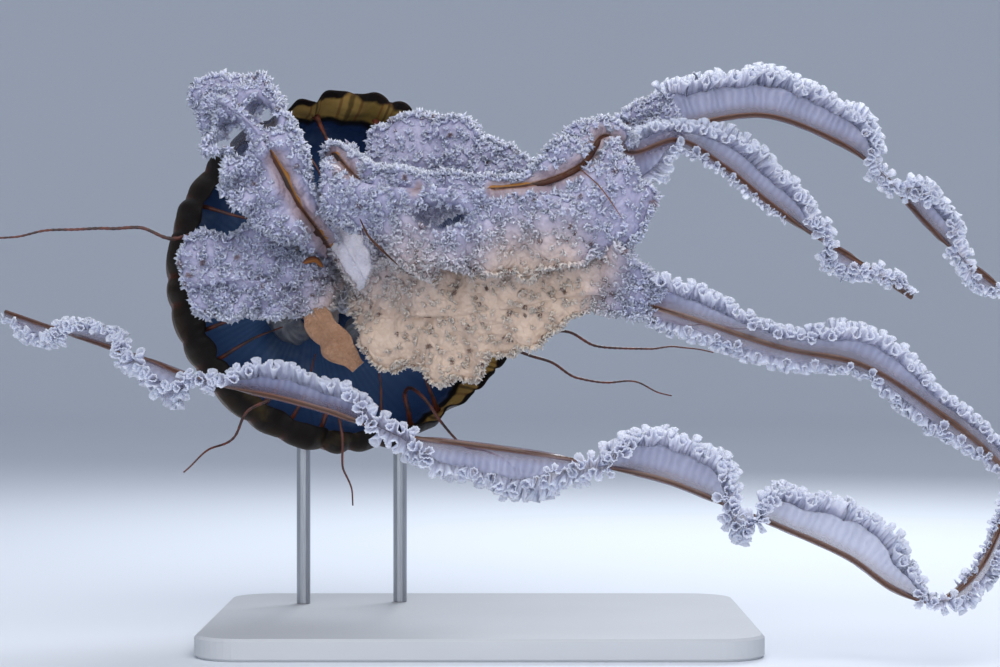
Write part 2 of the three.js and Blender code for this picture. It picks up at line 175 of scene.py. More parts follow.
@dataclass
class Skin:
    """Sews strips to one mesh object.

    Attributes:
        name: the piece's name.
        strips: its patches.
        thickness: the wall that is grown about the strips, in millimetres, or 0 for none.
        closed: whether edges that meet are joined and open ends are capped.
        bake_rows: how many bands the bake map is divided into.
        margin: the share of a band that is left free along each of its sides.
        tuft_patch: the breadth of one tuft's patch on the bake map.
        map_edge: how far the tufts' patches keep from the bake map's edge.
        weld: how near two corners are that are joined, in millimetres.
        cap_sides: the most sides that a capped end may have.
    """

    name: str
    strips: list[Strip]
    thickness: float = 0.0
    closed: bool = False
    bake_rows: int = 24
    margin: float = 0.12
    tuft_patch: float = 0.004
    map_edge: float = 0.01
    weld: float = 0.004
    cap_sides: int = 64

    def make(self, paint: Material) -> Object:
        """Builds the mesh object.

        Args:
            paint: its material.

        Returns:
            The piece, with its place in its mesh.
        """
        mesh = self._sheets()
        places = np.concatenate([s.points.reshape(-1, 3) for s in self.strips]) * MM
        mesh.vertices.foreach_set("co", places.astype(np.float32).ravel())
        for name in self.strips[0].marks:
            marks = np.concatenate([s.marks[name].ravel() for s in self.strips])
            layer = mesh.attributes.new(name, "FLOAT", "POINT")
            layer.data.foreach_set("value", marks.astype(np.float32))
        self._map(mesh)
        mesh.shade_smooth()
        if self.closed:
            self._close(mesh)
        mesh.materials.append(paint)
        piece = bpy.data.objects.new(self.name, mesh)
        bpy.context.scene.collection.objects.link(piece)
        if self.thickness:
            wall = piece.modifiers.new("Wall", "SOLIDIFY")
            wall.thickness = self.thickness * MM
            wall.offset = 0
        return piece

    def _sheets(self) -> Mesh:
        """Lays out a plain grid for each strip. Like grids that follow each other are copied.

        Returns:
            The mesh, whose places are still to be set.
        """
        mesh = bpy.data.meshes.new(self.name)
        copies = bpy.data.meshes.new("copies")
        sheets = bmesh.new()
        for (rows, columns), alike in groupby(strip.points.shape[:2] for strip in self.strips):
            one = bmesh.new()
            bmesh.ops.create_grid(one, x_segments=columns - 1, y_segments=rows - 1, size=1)
            one.to_mesh(copies)
            one.free()
            count = len(list(alike))
            while count:
                if count % 2:
                    sheets.from_mesh(copies)
                count //= 2
                if count:
                    twice = bmesh.new()
                    twice.from_mesh(copies)
                    twice.from_mesh(copies)
                    twice.to_mesh(copies)
                    twice.free()
        sheets.to_mesh(mesh)
        sheets.free()
        bpy.data.meshes.remove(copies)
        return mesh

    def _map(self, mesh: Mesh) -> None:
        """Lays the bake map in bands, and the pattern map where the strips have one.

        Args:
            mesh: the mesh, which gets the maps.
        """
        corners = np.zeros(len(mesh.loops), int)
        mesh.loops.foreach_get("vertex_index", corners)
        corners = corners.reshape(-1, 4)
        total = sum(s.points.shape[1] for s in self.strips)
        per_band = total / self.bake_rows
        roots = self._rooted()
        bake, pattern = [], []
        first_vertex = first_column = face = 0
        for index, strip in enumerate(self.strips):
            rows, columns = strip.points.shape[:2]
            faces = (rows - 1) * (columns - 1)
            local = corners[face : face + faces] - first_vertex
            row, column = local // columns, local % columns + first_column
            band = np.floor(column.min(axis=1, keepdims=True) / per_band)
            u = np.clip((column - band * per_band) / (per_band + 1), 0, 1)
            height = self.margin + (1 - 2 * self.margin) * row / (rows - 1)
            place = np.stack([u, (band + height) / (self.bake_rows + 1)], axis=-1)
            if roots is not None:
                within = np.stack([(column - first_column) / columns, row / (rows - 1)], axis=-1)
                place = roots[index] + self.tuft_patch * within
            bake.append(place.reshape(-1, 2))
            if strip.pattern is not None:
                pattern.append(strip.pattern.reshape(-1, 2)[local.ravel()])
            first_vertex += rows * columns
            first_column += columns
            face += faces
        bake_layer = mesh.uv_layers.new(name=BAKE_MAP)
        bake_layer.uv.foreach_set("vector", np.concatenate(bake).astype(np.float32).ravel())
        if pattern:
            layer = mesh.uv_layers.new(name=PATTERN_MAP)
            layer.uv.foreach_set("vector", np.concatenate(pattern).astype(np.float32).ravel())

    def _rooted(self) -> Array | None:
        """Gives each tuft's place on the bake map, or nothing where the strips are no tufts.

        Returns:
            Each tuft's place, or None.
        """
        if self.strips[0].root is None:
            return None
        roots = np.array([strip.root for strip in self.strips])
        low, high = roots.min(axis=0), roots.max(axis=0)
        room = 1 - 2 * self.map_edge - self.tuft_patch
        return self.map_edge + room * (roots - low) / (high - low)

    def _close(self, mesh: Mesh) -> None:
        """Joins edges that meet, caps open ends and turns the faces outwards.

        Args:
            mesh: the mesh, which is changed.
        """
        shell = bmesh.new()
        shell.from_mesh(mesh)
        bmesh.ops.remove_doubles(shell, verts=shell.verts, dist=self.weld * MM)
        ends = [edge for edge in shell.edges if edge.is_boundary]
        bmesh.ops.holes_fill(shell, edges=ends, sides=self.cap_sides)
        bmesh.ops.recalc_face_normals(shell, faces=shell.faces)
        for face in shell.faces:
            face.smooth = True
        shell.to_mesh(mesh)
        shell.free()


def tube_strip(line: Array, wide: Array, tall: Array, half: Array, sides: int) -> Strip:
    """Wraps a strip round a line.

    Args:
        line: the points of the tube's middle.
        wide: the unit vector of its width at each point.
        tall: the unit vector of its thickness.
        half: its half width and half thickness at each point.
        sides: how many faces go round it.

    Returns:
        The strip, whose first and last rows meet.
    """
    angle = np.linspace(0, TURN, sides + 1)[:, None, None]
    ring = np.cos(angle) * wide * half[:, :1] + np.sin(angle) * tall * half[:, 1:]
    around = np.repeat(np.linspace(0, 1, sides + 1)[:, None], len(line), axis=1)
    along = np.repeat(walked(line)[None, :], sides + 1, axis=0)
    return Strip(line + ring, pattern=np.stack([around, along], axis=-1))


# ---------- shading


class Value:
    """A number that a shader works out, for use in Python sums."""

    def __init__(self, tree: NodeTree, socket: Socket) -> None:
        """Wraps an output socket of a node in tree."""
        self.tree = tree
        self.socket = socket

    def math(self, operation: str, *others: Value | float) -> Value:
        """Adds a Math node.

        Args:
            operation: the node's operation.
            others: its further operands, where it takes any.

        Returns:
            The node's result.
        """
        node = self.tree.nodes.new("ShaderNodeMath")
        node.operation = operation
        for slot, operand in zip(node.inputs, (self, *others)):
            if isinstance(operand, Value):
                self.tree.links.new(operand.socket, slot)
            else:
                slot.default_value = operand
        return Value(self.tree, node.outputs[0])

    def __add__(self, other: Value | float) -> Value:
        """Adds."""
        return self.math("ADD", other)

    __radd__ = __add__

    def __sub__(self, other: Value | float) -> Value:
        """Subtracts."""
        return self.math("SUBTRACT", other)

    def __rsub__(self, other: float) -> Value:
        """Subtracts from a plain number."""
        return self.math("MULTIPLY_ADD", -1.0, other)

    def __mul__(self, other: Value | float) -> Value:
        """Multiplies."""
        return self.math("MULTIPLY", other)

    __rmul__ = __mul__


def painted(red: int, green: int, blue: int) -> tuple[float, float, float, float]:
    """Turns a paint chart's 0 to 255 values to the shader's own linear colour.

    Args:
        red: its red.
        green: its green.
        blue: its blue.

    Returns:
        The colour, which is opaque.
    """
    chart = [c / 255 for c in (red, green, blue)]
    linear = [c / 12.92 if c <= 0.04045 else ((c + 0.055) / 1.055) ** 2.4 for c in chart]
    return (*linear, 1.0)


class Finish:
    """A material in the making, with the one shader that all finishes share."""

    def __init__(self, name: str, **constants: float | tuple[float, ...]) -> None:
        """Starts the material.

        Args:
            name: the material's name.
            constants: values of the shader's sockets, with _ for each space.
        """
        self.material = bpy.data.materials.new(name)
        self.material.use_nodes = True
        self.tree = self.material.node_tree
        self.shader = self.tree.nodes["Principled BSDF"]
        for key, constant in constants.items():
            self.shader.inputs[key.replace("_", " ")].default_value = constant

    def node(self, kind: str, settings: dict | None = None, **inputs: object) -> Node:
        """Adds a node.

        Args:
            kind: the node's type.
            settings: its properties, set before its sockets.
            inputs: what each socket takes, by its name with _ for each space.

        Returns:
            The node.
        """
        node = self.tree.nodes.new(kind)
        for key, setting in (settings or {}).items():
            setattr(node, key, setting)
        for key, wanted in inputs.items():
            self.wire(wanted, self._input(node, key))
        return node

    @staticmethod
    def _input(node: Node, key: str) -> Socket:
        """Finds the open socket of that name."""
        name = key.replace("_", " ")
        return next(s for s in node.inputs if s.name == name and s.enabled)

    def wire(self, wanted: object, slot: Socket) -> None:
        """Links or sets a socket.

        Args:
            wanted: a value, a socket or a constant.
            slot: the socket that takes it.
        """
        if isinstance(wanted, Value):
            wanted = wanted.socket
        if isinstance(wanted, Socket):
            self.tree.links.new(wanted, slot)
        else:
            slot.default_value = wanted

    def value(self, node: Node, output: int | str = 0) -> Value:
        """Takes one output of a node as a number."""
        return Value(self.tree, node.outputs[output])

    def place(self) -> Socket:
        """Gives the place on the object, in metres."""
        return self.node("ShaderNodeTexCoord").outputs["Object"]

    def attribute(self, name: str) -> Value:
        """Gives a number that the mesh carries."""
        return self.value(self.node("ShaderNodeAttribute", {"attribute_name": name}), "Fac")

    def parts(self, vector: Socket) -> list[Value]:
        """Splits a vector in its three numbers."""
        split = self.node("ShaderNodeSeparateXYZ", Vector=vector)
        return [Value(self.tree, output) for output in split.outputs]

    def eased(self, value: Value, low: float, high: float) -> Value:
        """Eases from 0 where value is at low to 1 where it is at high.

        Args:
            value: the value.
            low: where the result is 0.
            high: where it is 1. It may be under low.

        Returns:
            The result.
        """
        node = self.node(
            "ShaderNodeMapRange",
            {"interpolation_type": "SMOOTHSTEP"},
            Value=value,
            From_Min=min(low, high),
            From_Max=max(low, high),
        )
        eased = self.value(node)
        return eased if high > low else 1 - eased

    def blend(self, share: Value | float, a: object, b: object) -> Socket:
        """Mixes two colours, from a where share is 0 to b where it is 1.

        Args:
            share: from 0 to 1.
            a: the first colour.
            b: the second colour.

        Returns:
            The mixed colour.
        """
        node = self.node("ShaderNodeMix", {"data_type": "RGBA"})
        sockets = [s for s in node.inputs if s.enabled]
        for wanted, slot in zip((share, a, b), sockets):
            self.wire(wanted, slot)
        return next(s for s in node.outputs if s.enabled)

    def grain(self, scale: float, detail: float = 2.0, vector: object = None) -> Value:
        """Gives cloudy noise from 0 to 1, scale cells to the metre.

        Args:
            scale: how many cells there are to the metre.
            detail: how many finer layers it has.
            vector: where it is read, or None for the place on the object.

        Returns:
            The noise.
        """
        where = vector or self.place()
        node = self.node(
            "ShaderNodeTexNoise", Vector=where, Scale=scale, Detail=detail, Roughness=0.55
        )
        return self.value(node)

    def pits(self, scale: float, vector: object = None) -> Value:
        """Gives the distance to the nearest of many scattered points."""
        node = self.node("ShaderNodeTexVoronoi", Vector=vector or self.place(), Scale=scale)
        return self.value(node)

    def relief(self, height: Value, depth: float) -> None:
        """Raises the surface by up to depth, in millimetres."""
        bump = self.node("ShaderNodeBump", Height=height, Distance=depth * MM, Strength=1.0)
        self.tree.links.new(bump.outputs[0], self.shader.inputs["Normal"])

    def feed(self, **sockets: object) -> None:
        """Links what changes over the surface to the shader."""
        for key, wanted in sockets.items():
            self.wire(wanted, self.shader.inputs[key.replace("_", " ")])


# ---------- finishes


@dataclass(frozen=True)
class LaceFinish:
    """Frilled membrane: smoky at the root, pale and crisp at the edge.

    Attributes:
        grain_depth: its relief, in millimetres.
        cloud_scale: clouds to the metre, as the scales below are for flecks, pits and grain.
    """

    name: str = "frilled lace"
    cool_root: tuple = painted(156, 157, 186)
    cool_edge: tuple = painted(205, 210, 235)
    warm_root: tuple = painted(208, 182, 162)
    warm_edge: tuple = painted(222, 203, 187)
    speck: tuple = painted(84, 54, 44)
    grain_depth: float = 0.3
    cloud_scale: float = 38.0
    fleck_scale: float = 420.0
    pit_scale: float = 650.0
    grain_scale: float = 1400.0

    def make(self) -> Material:
        """Builds the material.

        Returns:
            The material.
        """
        lace = Finish(
            self.name,
            Roughness=0.55,
            Subsurface_Weight=0.8,
            Subsurface_Radius=(1.0, 0.9, 0.85),
            Subsurface_Scale=0.004,
            Coat_Weight=0.05,
            Coat_Roughness=0.3,
            Specular_IOR_Level=0.25,
        )
        place = lace.place()
        warmth = lace.attribute("warmth")
        tone = lace.attribute("tone")
        fleck = lace.grain(self.fleck_scale, 2.0, place)
        cloud = lace.grain(self.cloud_scale, 3.0, place)
        pale = lace.eased(tone + 0.3 * (fleck - 0.5) + 0.7 * (cloud - 0.5), 0.1, 1.0)
        root = lace.blend(warmth, self.cool_root, self.warm_root)
        edge = lace.blend(warmth, self.cool_edge, self.warm_edge)
        colour = lace.blend(lace.attribute("spotted"), lace.blend(pale, root, edge), self.speck)
        pits = lace.pits(self.pit_scale, place)
        lace.relief(pits * 0.7 + lace.grain(self.grain_scale, 2.0, place) * 0.5, self.grain_depth)
        lace.feed(Base_Color=colour)
        return lace.material


@dataclass(frozen=True)
class MembraneFinish:
    """The thin sheet between an arm's brown keel and its frill.

    Attributes:
        thinnest: how much of the sheet is seen where it is thin, from 0 to 1.
        clearest: how much of it is seen in the windows.
        pleat: from one pleat to the next, in millimetres.
    """

    name: str = "arm membrane"
    rib: tuple = painted(74, 42, 28)
    rib_glow: tuple = painted(128, 84, 48)
    smoke: tuple = painted(108, 94, 110)
    veil: tuple = painted(150, 154, 186)
    crest: tuple = painted(196, 198, 224)
    # The cool colour of the skin under the florets is its lavender darkened as painted shade, for
    # the shade that falls between them.
    shaded_cool_lace: tuple = painted(160, 157, 184)
    warm_lace: tuple = painted(208, 182, 162)
    blush: tuple = painted(152, 128, 126)
    thinnest: float = 0.46
    clearest: float = 0.06
    pleat: float = 3.9

    def make(self) -> Material:
        """Builds the material.

        Returns:
            The material.
        """
        sheet = Finish(
            self.name,
            Roughness=0.36,
            Subsurface_Weight=0.3,
            Subsurface_Radius=(1.0, 0.75, 0.6),
            Subsurface_Scale=0.003,
            Coat_Weight=0.2,
            Coat_Roughness=0.15,
            Specular_IOR_Level=0.4,
        )
        place = sheet.place()
        cloud = sheet.grain(30.0, 4.0, place)
        tone, warmth = sheet.attribute("tone"), sheet.attribute("warmth")
        full, window = sheet.attribute("full"), sheet.attribute("window")
        full = full * (1 - window)
        thin = sheet.blend(sheet.eased(tone + 0.3 * (cloud - 0.5), 0.1, 0.7), self.smoke, self.veil)
        pattern = sheet.node("ShaderNodeUVMap", {"uv_map": PATTERN_MAP}).outputs[0]
        along = sheet.parts(pattern)[0]
        wander = 9.0 * cloud + 7.0 * sheet.grain(110.0, 2.0, place)
        pleats = (along * (TURN / self.pleat) + wander).math("SINE") * 0.5 + 0.5
        pleats = pleats * sheet.eased(tone + 0.6 * (cloud - 0.5), 0.1, 0.9) * (1 - full)
        thin = sheet.blend(0.42 * pleats, thin, self.crest)
        # Where the wing is full the skin takes the lace's colours, and its cool colour holds
        # painted shade between the florets.
        lace = sheet.blend(warmth, self.shaded_cool_lace, self.warm_lace)
        skin = sheet.blend(full, thin, lace)
        near_rib = sheet.eased(tone + 0.2 * (cloud - 0.5), 0.75, 0.2)
        skin = sheet.blend(0.75 * full * near_rib, skin, self.blush)
        rib = sheet.eased(tone + 0.1 * (cloud - 0.5), 0.16, 0.04)
        glow = sheet.blend(sheet.eased(tone, 0.1, 0.03), self.rib_glow, self.rib)
        sheet.feed(Base_Color=sheet.blend(rib, skin, glow))
        thinnest = self.thinnest - (self.thinnest - self.clearest) * window
        sheet.feed(Alpha=thinnest + (1 - thinnest) * (rib + full - rib * full))
        knobs = 1.6 * full * (1 - sheet.pits(330.0, place))
        rough = sheet.grain(260.0, 4.0, place) + 0.4 * sheet.pits(500.0, place)
        sheet.relief(rough + knobs + 1.2 * pleats, 0.5)
        return sheet.material


@dataclass(frozen=True)
class FleshFinish:
    """Wet, cloudy flesh of two colours.

    Attributes:
        pale: its light colour.
        deep: its darker colour, in blotches.
        scale: blotches to the metre.
        depth: relief, in millimetres.
        roughness: how matt it is, from 0 to 1.
        coat: how wet it looks, from 0 to 1.
    """

    name: str
    pale: tuple
    deep: tuple
    scale: float = 90.0
    depth: float = 0.3
    roughness: float = 0.32
    coat: float = 0.3

    def make(self) -> Material:
        """Builds the material.

        Returns:
            The material.
        """
        flesh = Finish(
            self.name,
            Subsurface_Weight=0.2,
            Subsurface_Radius=(1.0, 0.5, 0.3),
            Subsurface_Scale=0.003,
            Coat_Weight=self.coat,
            Coat_Roughness=0.2,
        )
        cloud = flesh.grain(self.scale, 4.0)
        fine = flesh.grain(self.scale * 8, 3.0)
        flesh.feed(Base_Color=flesh.blend(flesh.eased(cloud, 0.35, 0.65), self.deep, self.pale))
        flesh.feed(Roughness=self.roughness + 0.25 * (fine - 0.5))
        flesh.relief(fine + cloud, self.depth)
        return flesh.material


@dataclass(frozen=True)
class BellFinish:
    """The bell's skin, drawn on its pattern map.

    The map's first number counts lappets round the rim. Its second runs from 0 at the crown,
    over the outside, to 1 at the rim's tip, and back over the inside to 2.

    Attributes:
        fine_ribs: how many fine ribs a lappet's breadth has.
        muscles: how many streaks of muscle it has, on the inside.
    """

    name: str = "bell skin"
    honey: tuple = painted(150, 112, 62)
    amber: tuple = painted(122, 78, 32)
    umber: tuple = painted(56, 42, 24)
    black: tuple = painted(20, 15, 13)
    gold: tuple = painted(172, 140, 78)
    olive: tuple = painted(112, 92, 46)
    rust: tuple = painted(96, 44, 22)
    wart: tuple = painted(86, 50, 22)
    # The three blues below are painted shade: they colour the hollow under the bell the dark,
    # cloudy blue that it shows in shade under water.
    deep: tuple = painted(36, 58, 98)
    smoke: tuple = painted(66, 94, 136)
    glow: tuple = painted(118, 136, 160)
    fine_ribs: int = 4
    muscles: int = 3

    def make(self) -> Material:
        """Builds the material.

        Returns:
            The material.
        """
        skin = Finish(
            self.name,
            Roughness=0.5,
            Specular_IOR_Level=0.12,
            Coat_Roughness=0.16,
            Subsurface_Weight=0.15,
            Subsurface_Radius=(1.0, 0.5, 0.25),
            Subsurface_Scale=0.004,
        )
        pattern = skin.node("ShaderNodeUVMap", {"uv_map": PATTERN_MAP}).outputs[0]
        round_rim, along, _ = skin.parts(pattern)
        cloud = skin.grain(34.0, 4.0)
        speck = skin.grain(260.0, 3.0)
        phase = round_rim.math("FRACT")
        from_cleft = 0.5 - (phase - 0.5).math("ABSOLUTE")
        outside = self._outside(skin, along, from_cleft, cloud, speck)
        inside = self._inside(skin, round_rim, along, from_cleft, cloud, speck)
        inner = skin.eased(along, 0.992, 1.008)
        skin.feed(Base_Color=skin.blend(inner, outside, inside))
        ribs = (round_rim * (TURN * self.fine_ribs)).math("SINE")
        skin.relief(speck * 0.6 + cloud + ribs * 0.12, 0.5)
        skin.feed(Roughness=0.42 + 0.2 * speck)
        skin.feed(Coat_Weight=0.5 * skin.eased(along, 0.8, 0.6))
        return skin.material

    def _outside(
        self, skin: Finish, along: Value, from_cleft: Value, cloud: Value, speck: Value
    ) -> Socket:
        """Colours the outer face: honey at the crown, umber down to a black rim.

        Args:
            skin: the material in the making.
            along: the pattern's second number.
            from_cleft: how far it is to the nearest cleft.
            cloud: coarse noise.
            speck: fine noise.

        Returns:
            The colour.
        """
        uneven = along + 0.08 * (cloud - 0.5)
        crown = skin.blend(skin.eased(uneven, 0.12, 0.55), self.honey, self.amber)
        lower = skin.blend(skin.eased(uneven, 0.5, 0.82), crown, self.umber)
        streak = skin.eased(from_cleft + 0.16 * (speck - 0.5), 0.16, 0.02)
        streak = streak * skin.eased(along, 0.25, 0.6)
        streaked = skin.blend(0.7 * streak, lower, self.rust)
        warts = skin.eased(skin.pits(330.0), 0.34, 0.16) * skin.eased(along, 0.9, 0.5)
        streaked = skin.blend(0.45 * warts, streaked, self.wart)
        streaked = skin.blend(0.3 * skin.eased(cloud, 0.42, 0.7), streaked, self.wart)
        edged = skin.blend(skin.eased(uneven, 0.72, 0.93), streaked, self.black)
        blotch = 0.35 * skin.eased(cloud, 0.55, 0.8) * skin.eased(along, 0.8, 0.9)
        return skin.blend(blotch, edged, self.olive)

    def _inside(
        self,
        skin: Finish,
        round_rim: Value,
        along: Value,
        from_cleft: Value,
        cloud: Value,
        speck: Value,
    ) -> Socket:
        """Colours the inner face: dark-edged golden lappets, then painted shade up to the crown:
        the smoky blue of the hollow in shade under water.

        Args:
            skin: the material in the making.
            round_rim: the pattern's first number.
            along: the pattern's second number.
            from_cleft: how far it is to the nearest cleft.
            cloud: coarse noise.
            speck: fine noise.

        Returns:
            The colour.
        """
        uneven = along + 0.05 * (cloud - 0.5) + 0.05 * (skin.grain(110.0, 2.0) - 0.5)
        # The hollow is painted shade: dark smoky blue on the rim's side, lighter towards the crown,
        # with lighter clouds and darker muscle streaks.
        hollow_shade = skin.blend(skin.eased(uneven, 1.3, 1.85), self.deep, self.smoke)
        hollow_shade = skin.blend(0.5 * skin.eased(cloud, 0.5, 0.75), hollow_shade, self.glow)
        muscle = (round_rim * (TURN * self.muscles)).math("SINE") * 0.5 + 0.5
        hollow_shade = skin.blend(0.22 * muscle, hollow_shade, self.deep)
        gold = skin.blend(skin.eased(cloud, 0.35, 0.7), self.olive, self.gold)
        canal = skin.eased((from_cleft - 0.2).math("ABSOLUTE"), 0.05, 0.015)
        gold = skin.blend(0.5 * canal, gold, self.rust)
        cleft = skin.eased(from_cleft + 0.05 * (speck - 0.5), 0.07, 0.02)
        gold = skin.blend(0.7 * cleft, gold, self.umber)
        border = skin.eased(uneven + 0.05 * skin.eased(from_cleft, 0.3, 0.0), 1.075, 1.045)
        gold = skin.blend(border, gold, self.black)
        band = skin.eased(uneven, 1.2, 1.225)
        rim = skin.blend(band, gold, self.black)
        return skin.blend(skin.eased(uneven, 1.25, 1.29), rim, hollow_shade)


@dataclass(frozen=True)
class StandFinish:
    """The stand's board and rods."""

    board: tuple = painted(186, 188, 192)
    board_light: tuple = painted(204, 206, 209)
    steel: tuple = painted(176, 178, 182)
    steel_drawn: tuple = painted(150, 152, 158)

    def board_paint(self) -> Material:
        """Builds the board's matt lacquer.

        Returns:
            The material.
        """
        paint = Finish("pale lacquer", Coat_Weight=0.08, Coat_Roughness=0.4)
        cloud = paint.grain(14.0, 4.0)
        fine = paint.grain(900.0, 2.0)
        paint.feed(Base_Color=paint.blend(0.5 * cloud, self.board, self.board_light))
        paint.feed(Roughness=0.5 + 0.2 * (fine - 0.5))
        paint.relief(fine, 0.04)
        return paint.material

    def brushed_rod(self) -> Material:
        """Builds the rods' brushed steel.

        Returns:
            The material.
        """
        steel = Finish("brushed rod", Metallic=1.0)
        place = steel.place()
        drawn = steel.node("ShaderNodeMapping", Vector=place, Scale=(1.0, 1.0, 0.03)).outputs[0]
        hair = steel.grain(2600.0, 2.0, drawn)
        steel.feed(Base_Color=steel.blend(hair, self.steel, self.steel_drawn))
        steel.feed(Roughness=0.24 + 0.16 * hair)
        steel.relief(hair, 0.02)
        return steel.material


# ---------- the bell and its frame


@dataclass
class Bell:
    """The swimming bell, with the frame that all else is placed from.

    Sizes are in millimetres and angles in degrees. Where the rim flares and where it rolls in
    have sizes of their own, and the dent angle is where it rolls in most.
    """

    centre: tuple = (-75.0, 25.0, 205.0)
    yaw: float = 19.0
    pitch: float = 6.0
    height: float = 82.0
    edge_radius: float = 97.5
    edge_height: float = 14.0
    crown_wall: float = 8.0
    edge_wall: float = 3.2
    dent_angle: float = 215.0
    lappets: int = 32
    rim_depth: float = 25.0
    scallop: float = 3.4
    puff: float = 1.1
    ripple: float = 1.3
    rolled_ripple: float = 1.7
    groove: float = 2.0
    cleft: float = 0.6
    rolled_cleft: float = 1.8
    unevenness: float = 0.05
    rim_wall: float = 2.4
    flared_radius: float = 92.0
    rolled_radius: float = 103.0
    start_slope: float = 88.0
    flare_slope: float = 28.0
    roll_slope: float = 158.0
    columns_per_lappet: int = 12
    dome_rows: int = 34
    rim_rows: int = 16
    crown_roundness: float = 0.86
    groove_start: float = 0.55
    dome_share: float = 0.75

    def __post_init__(self) -> None:
        """Works out the bell's turn from the way its mouth faces."""
        yaw, pitch = math.radians(self.yaw), math.radians(self.pitch)
        self.mouth_way = Vector(
            (math.sin(yaw) * math.cos(pitch), -math.cos(yaw) * math.cos(pitch), math.sin(pitch))
        )
        turn = Vector((0, 1, 0)).rotation_difference(-self.mouth_way)
        self.turn = np.array(turn.to_matrix())

    def place(self, radius: Array, angle: Array, height: Array) -> Array:
        """Gives the place at a radius and angle about the bell's axis and a height to the crown.

        Args:
            radius: the distance from the axis.
            angle: the angle about the axis, in radians.
            height: the height to the crown.

        Returns:
            The places.
        """
        x, z = radius * np.cos(angle), radius * np.sin(angle)
        local = np.stack(np.broadcast_arrays(x, height, z), -1)
        return local @ self.turn.T + np.array(self.centre)

    def roll(self, angle: Array) -> Array:
        """Gives 1 where the rim rolls in and 0 where it flares."""
        return smoothstep(0.5 + 0.5 * np.cos(angle - math.radians(self.dent_angle)))

    def edge(self, angle: Array) -> Array:
        """Gives the dome's radius at its edge."""
        return mix(self.flared_radius, self.rolled_radius, self.roll(angle))

    def uneven(self, angle: Array) -> Array:
        """Moves an angle a little, so that no two lappets are alike."""
        sway = 0.6 * np.sin(5 * angle + 1) + 0.4 * np.sin(13 * angle + 2)
        return angle + self.unevenness * sway

    def lappet(self, angle: Array) -> Array:
        """Gives 0 in a cleft and 1 along the middle of a lappet."""
        return np.abs(np.sin(self.uneven(angle) * self.lappets / 2)) ** 0.6

    def rim(self, angle: Array, distance: Array) -> tuple[Array, Array, Array]:
        """Follows the rim's middle surface down from the dome's edge.

        Args:
            angle: the angle about the bell's axis.
            distance: how far down the rim.

        Returns:
            The radius, the height and the slope there.
        """
        end = mix(self.flare_slope, self.roll_slope, self.roll(angle))
        radius = self.edge(angle) + 0 * distance
        height = self.edge_height + 0 * radius
        steps = 8
        for i in range(steps):
            slope = self._slope(end, distance * (i + 0.5) / steps)
            radius = radius + np.cos(slope) * distance / steps
            height = height - np.sin(slope) * distance / steps
        return radius, height, self._slope(end, distance)

    def _slope(self, end: Array, distance: Array) -> Array:
        """Gives the rim's slope at a distance from the dome's edge."""
        return np.radians(mix(self.start_slope, end, smoothstep(distance / self.rim_depth)))

    def _dome(self, angle: Array, share: Array, depth: Array | float) -> Array:
        """Gives a place on the dome, depth below its outer face.

        Args:
            angle: the angle about the axis.
            share: from 0 at the crown to 1 at the dome's edge.
            depth: how far below the outer face.

        Returns:
            The places.
        """
        lean = share * math.pi / 2
        radius = self.edge_radius * np.sin(lean)
        rise = np.maximum(np.cos(lean), 0) ** self.crown_roundness
        height = mix(self.edge_height, self.height, rise)
        low = smoothstep(1 - (height - self.edge_height) / (self.height - self.edge_height))
        swell = mix(1.0, self.edge(angle) / self.edge_radius, low)
        grooved = smoothstep((share - self.groove_start) / (1 - self.groove_start))
        down = depth + self.groove * grooved * (1 - self.lappet(angle))
        radius = np.maximum(radius - down * np.sin(lean), 0) * swell
        return self.place(radius, angle, height - down * np.cos(lean))

    def _rim(self, angle: Array, share: Array, side: float) -> Array:
        """Gives a place on the rim, on its outer face where side is 1 and its inner at -1.

        Args:
            angle: the angle about the axis.
            share: from 0 at the dome's edge to 1 at the rim's tip.
            side: 1 or -1, for the face.

        Returns:
            The places.
        """
        lappet = self.lappet(angle)
        depth = self.rim_depth - self.scallop * (1 + 0.5 * np.sin(7 * angle)) * (1 - lappet)
        radius, height, slope = self.rim(angle, share * depth)
        wall = self.rim_wall / 2 * (1 - 0.75 * share**3)
        start = 0.0 if side > 0 else -self.edge_wall
        offset = mix(start, side * wall, smoothstep(share * 4))
        cleft = mix(self.groove, mix(self.cleft, self.rolled_cleft, self.roll(angle)), share)
        swell = self.puff * lappet * np.sin(math.pi * 0.8 * share) - cleft * (1 - lappet)
        ripple = 0.7 * np.sin(9 * angle) + 0.9 * np.sin(23 * angle + 1) + 0.7 * np.sin(41 * angle)
        rippled = mix(self.ripple, self.rolled_ripple, self.roll(angle)) * smoothstep(1.4 * share)
        offset = offset + swell + rippled * ripple
        return self.place(radius + offset * np.sin(slope), angle, height + offset * np.cos(slope))

    def build(self) -> Object:
        """Makes the bell as one skin, outside and inside.

        Returns:
            The piece.
        """
        columns = self.lappets * self.columns_per_lappet + 1
        angle = np.linspace(0, TURN, columns)[None, :]
        dome = np.linspace(0, 1, self.dome_rows)[:, None]
        rim = np.linspace(0, 1, self.rim_rows)[1:, None]
        wall = mix(self.crown_wall, self.edge_wall, dome)
        over_dome, over_rim = self.dome_share * dome, mix(self.dome_share, 1.0, rim)
        parts = [
            (self._dome(angle, dome, 0.0 * angle), over_dome),
            (self._rim(angle, rim, 1.0), over_rim),
            (self._rim(angle, rim[::-1], -1.0), 2 - over_rim[::-1]),
            (self._dome(angle, dome[::-1], wall[::-1]), 2 - over_dome[::-1]),
        ]
        points = np.concatenate([part[0] for part in parts])
        along = np.concatenate([part[1] for part in parts]) + 0 * angle
        round_rim = self.uneven(angle) * self.lappets / TURN + 0 * along
        strip = Strip(points, pattern=np.stack([round_rim, along], axis=-1))
        skin = Skin("bell_skin", [strip], closed=True, bake_rows=1, margin=0.01)
        piece = skin.make(BellFinish().make())
        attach(piece, "root")
        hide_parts("bell", "bell_rim")
        return piece


# ---------- curves and frills


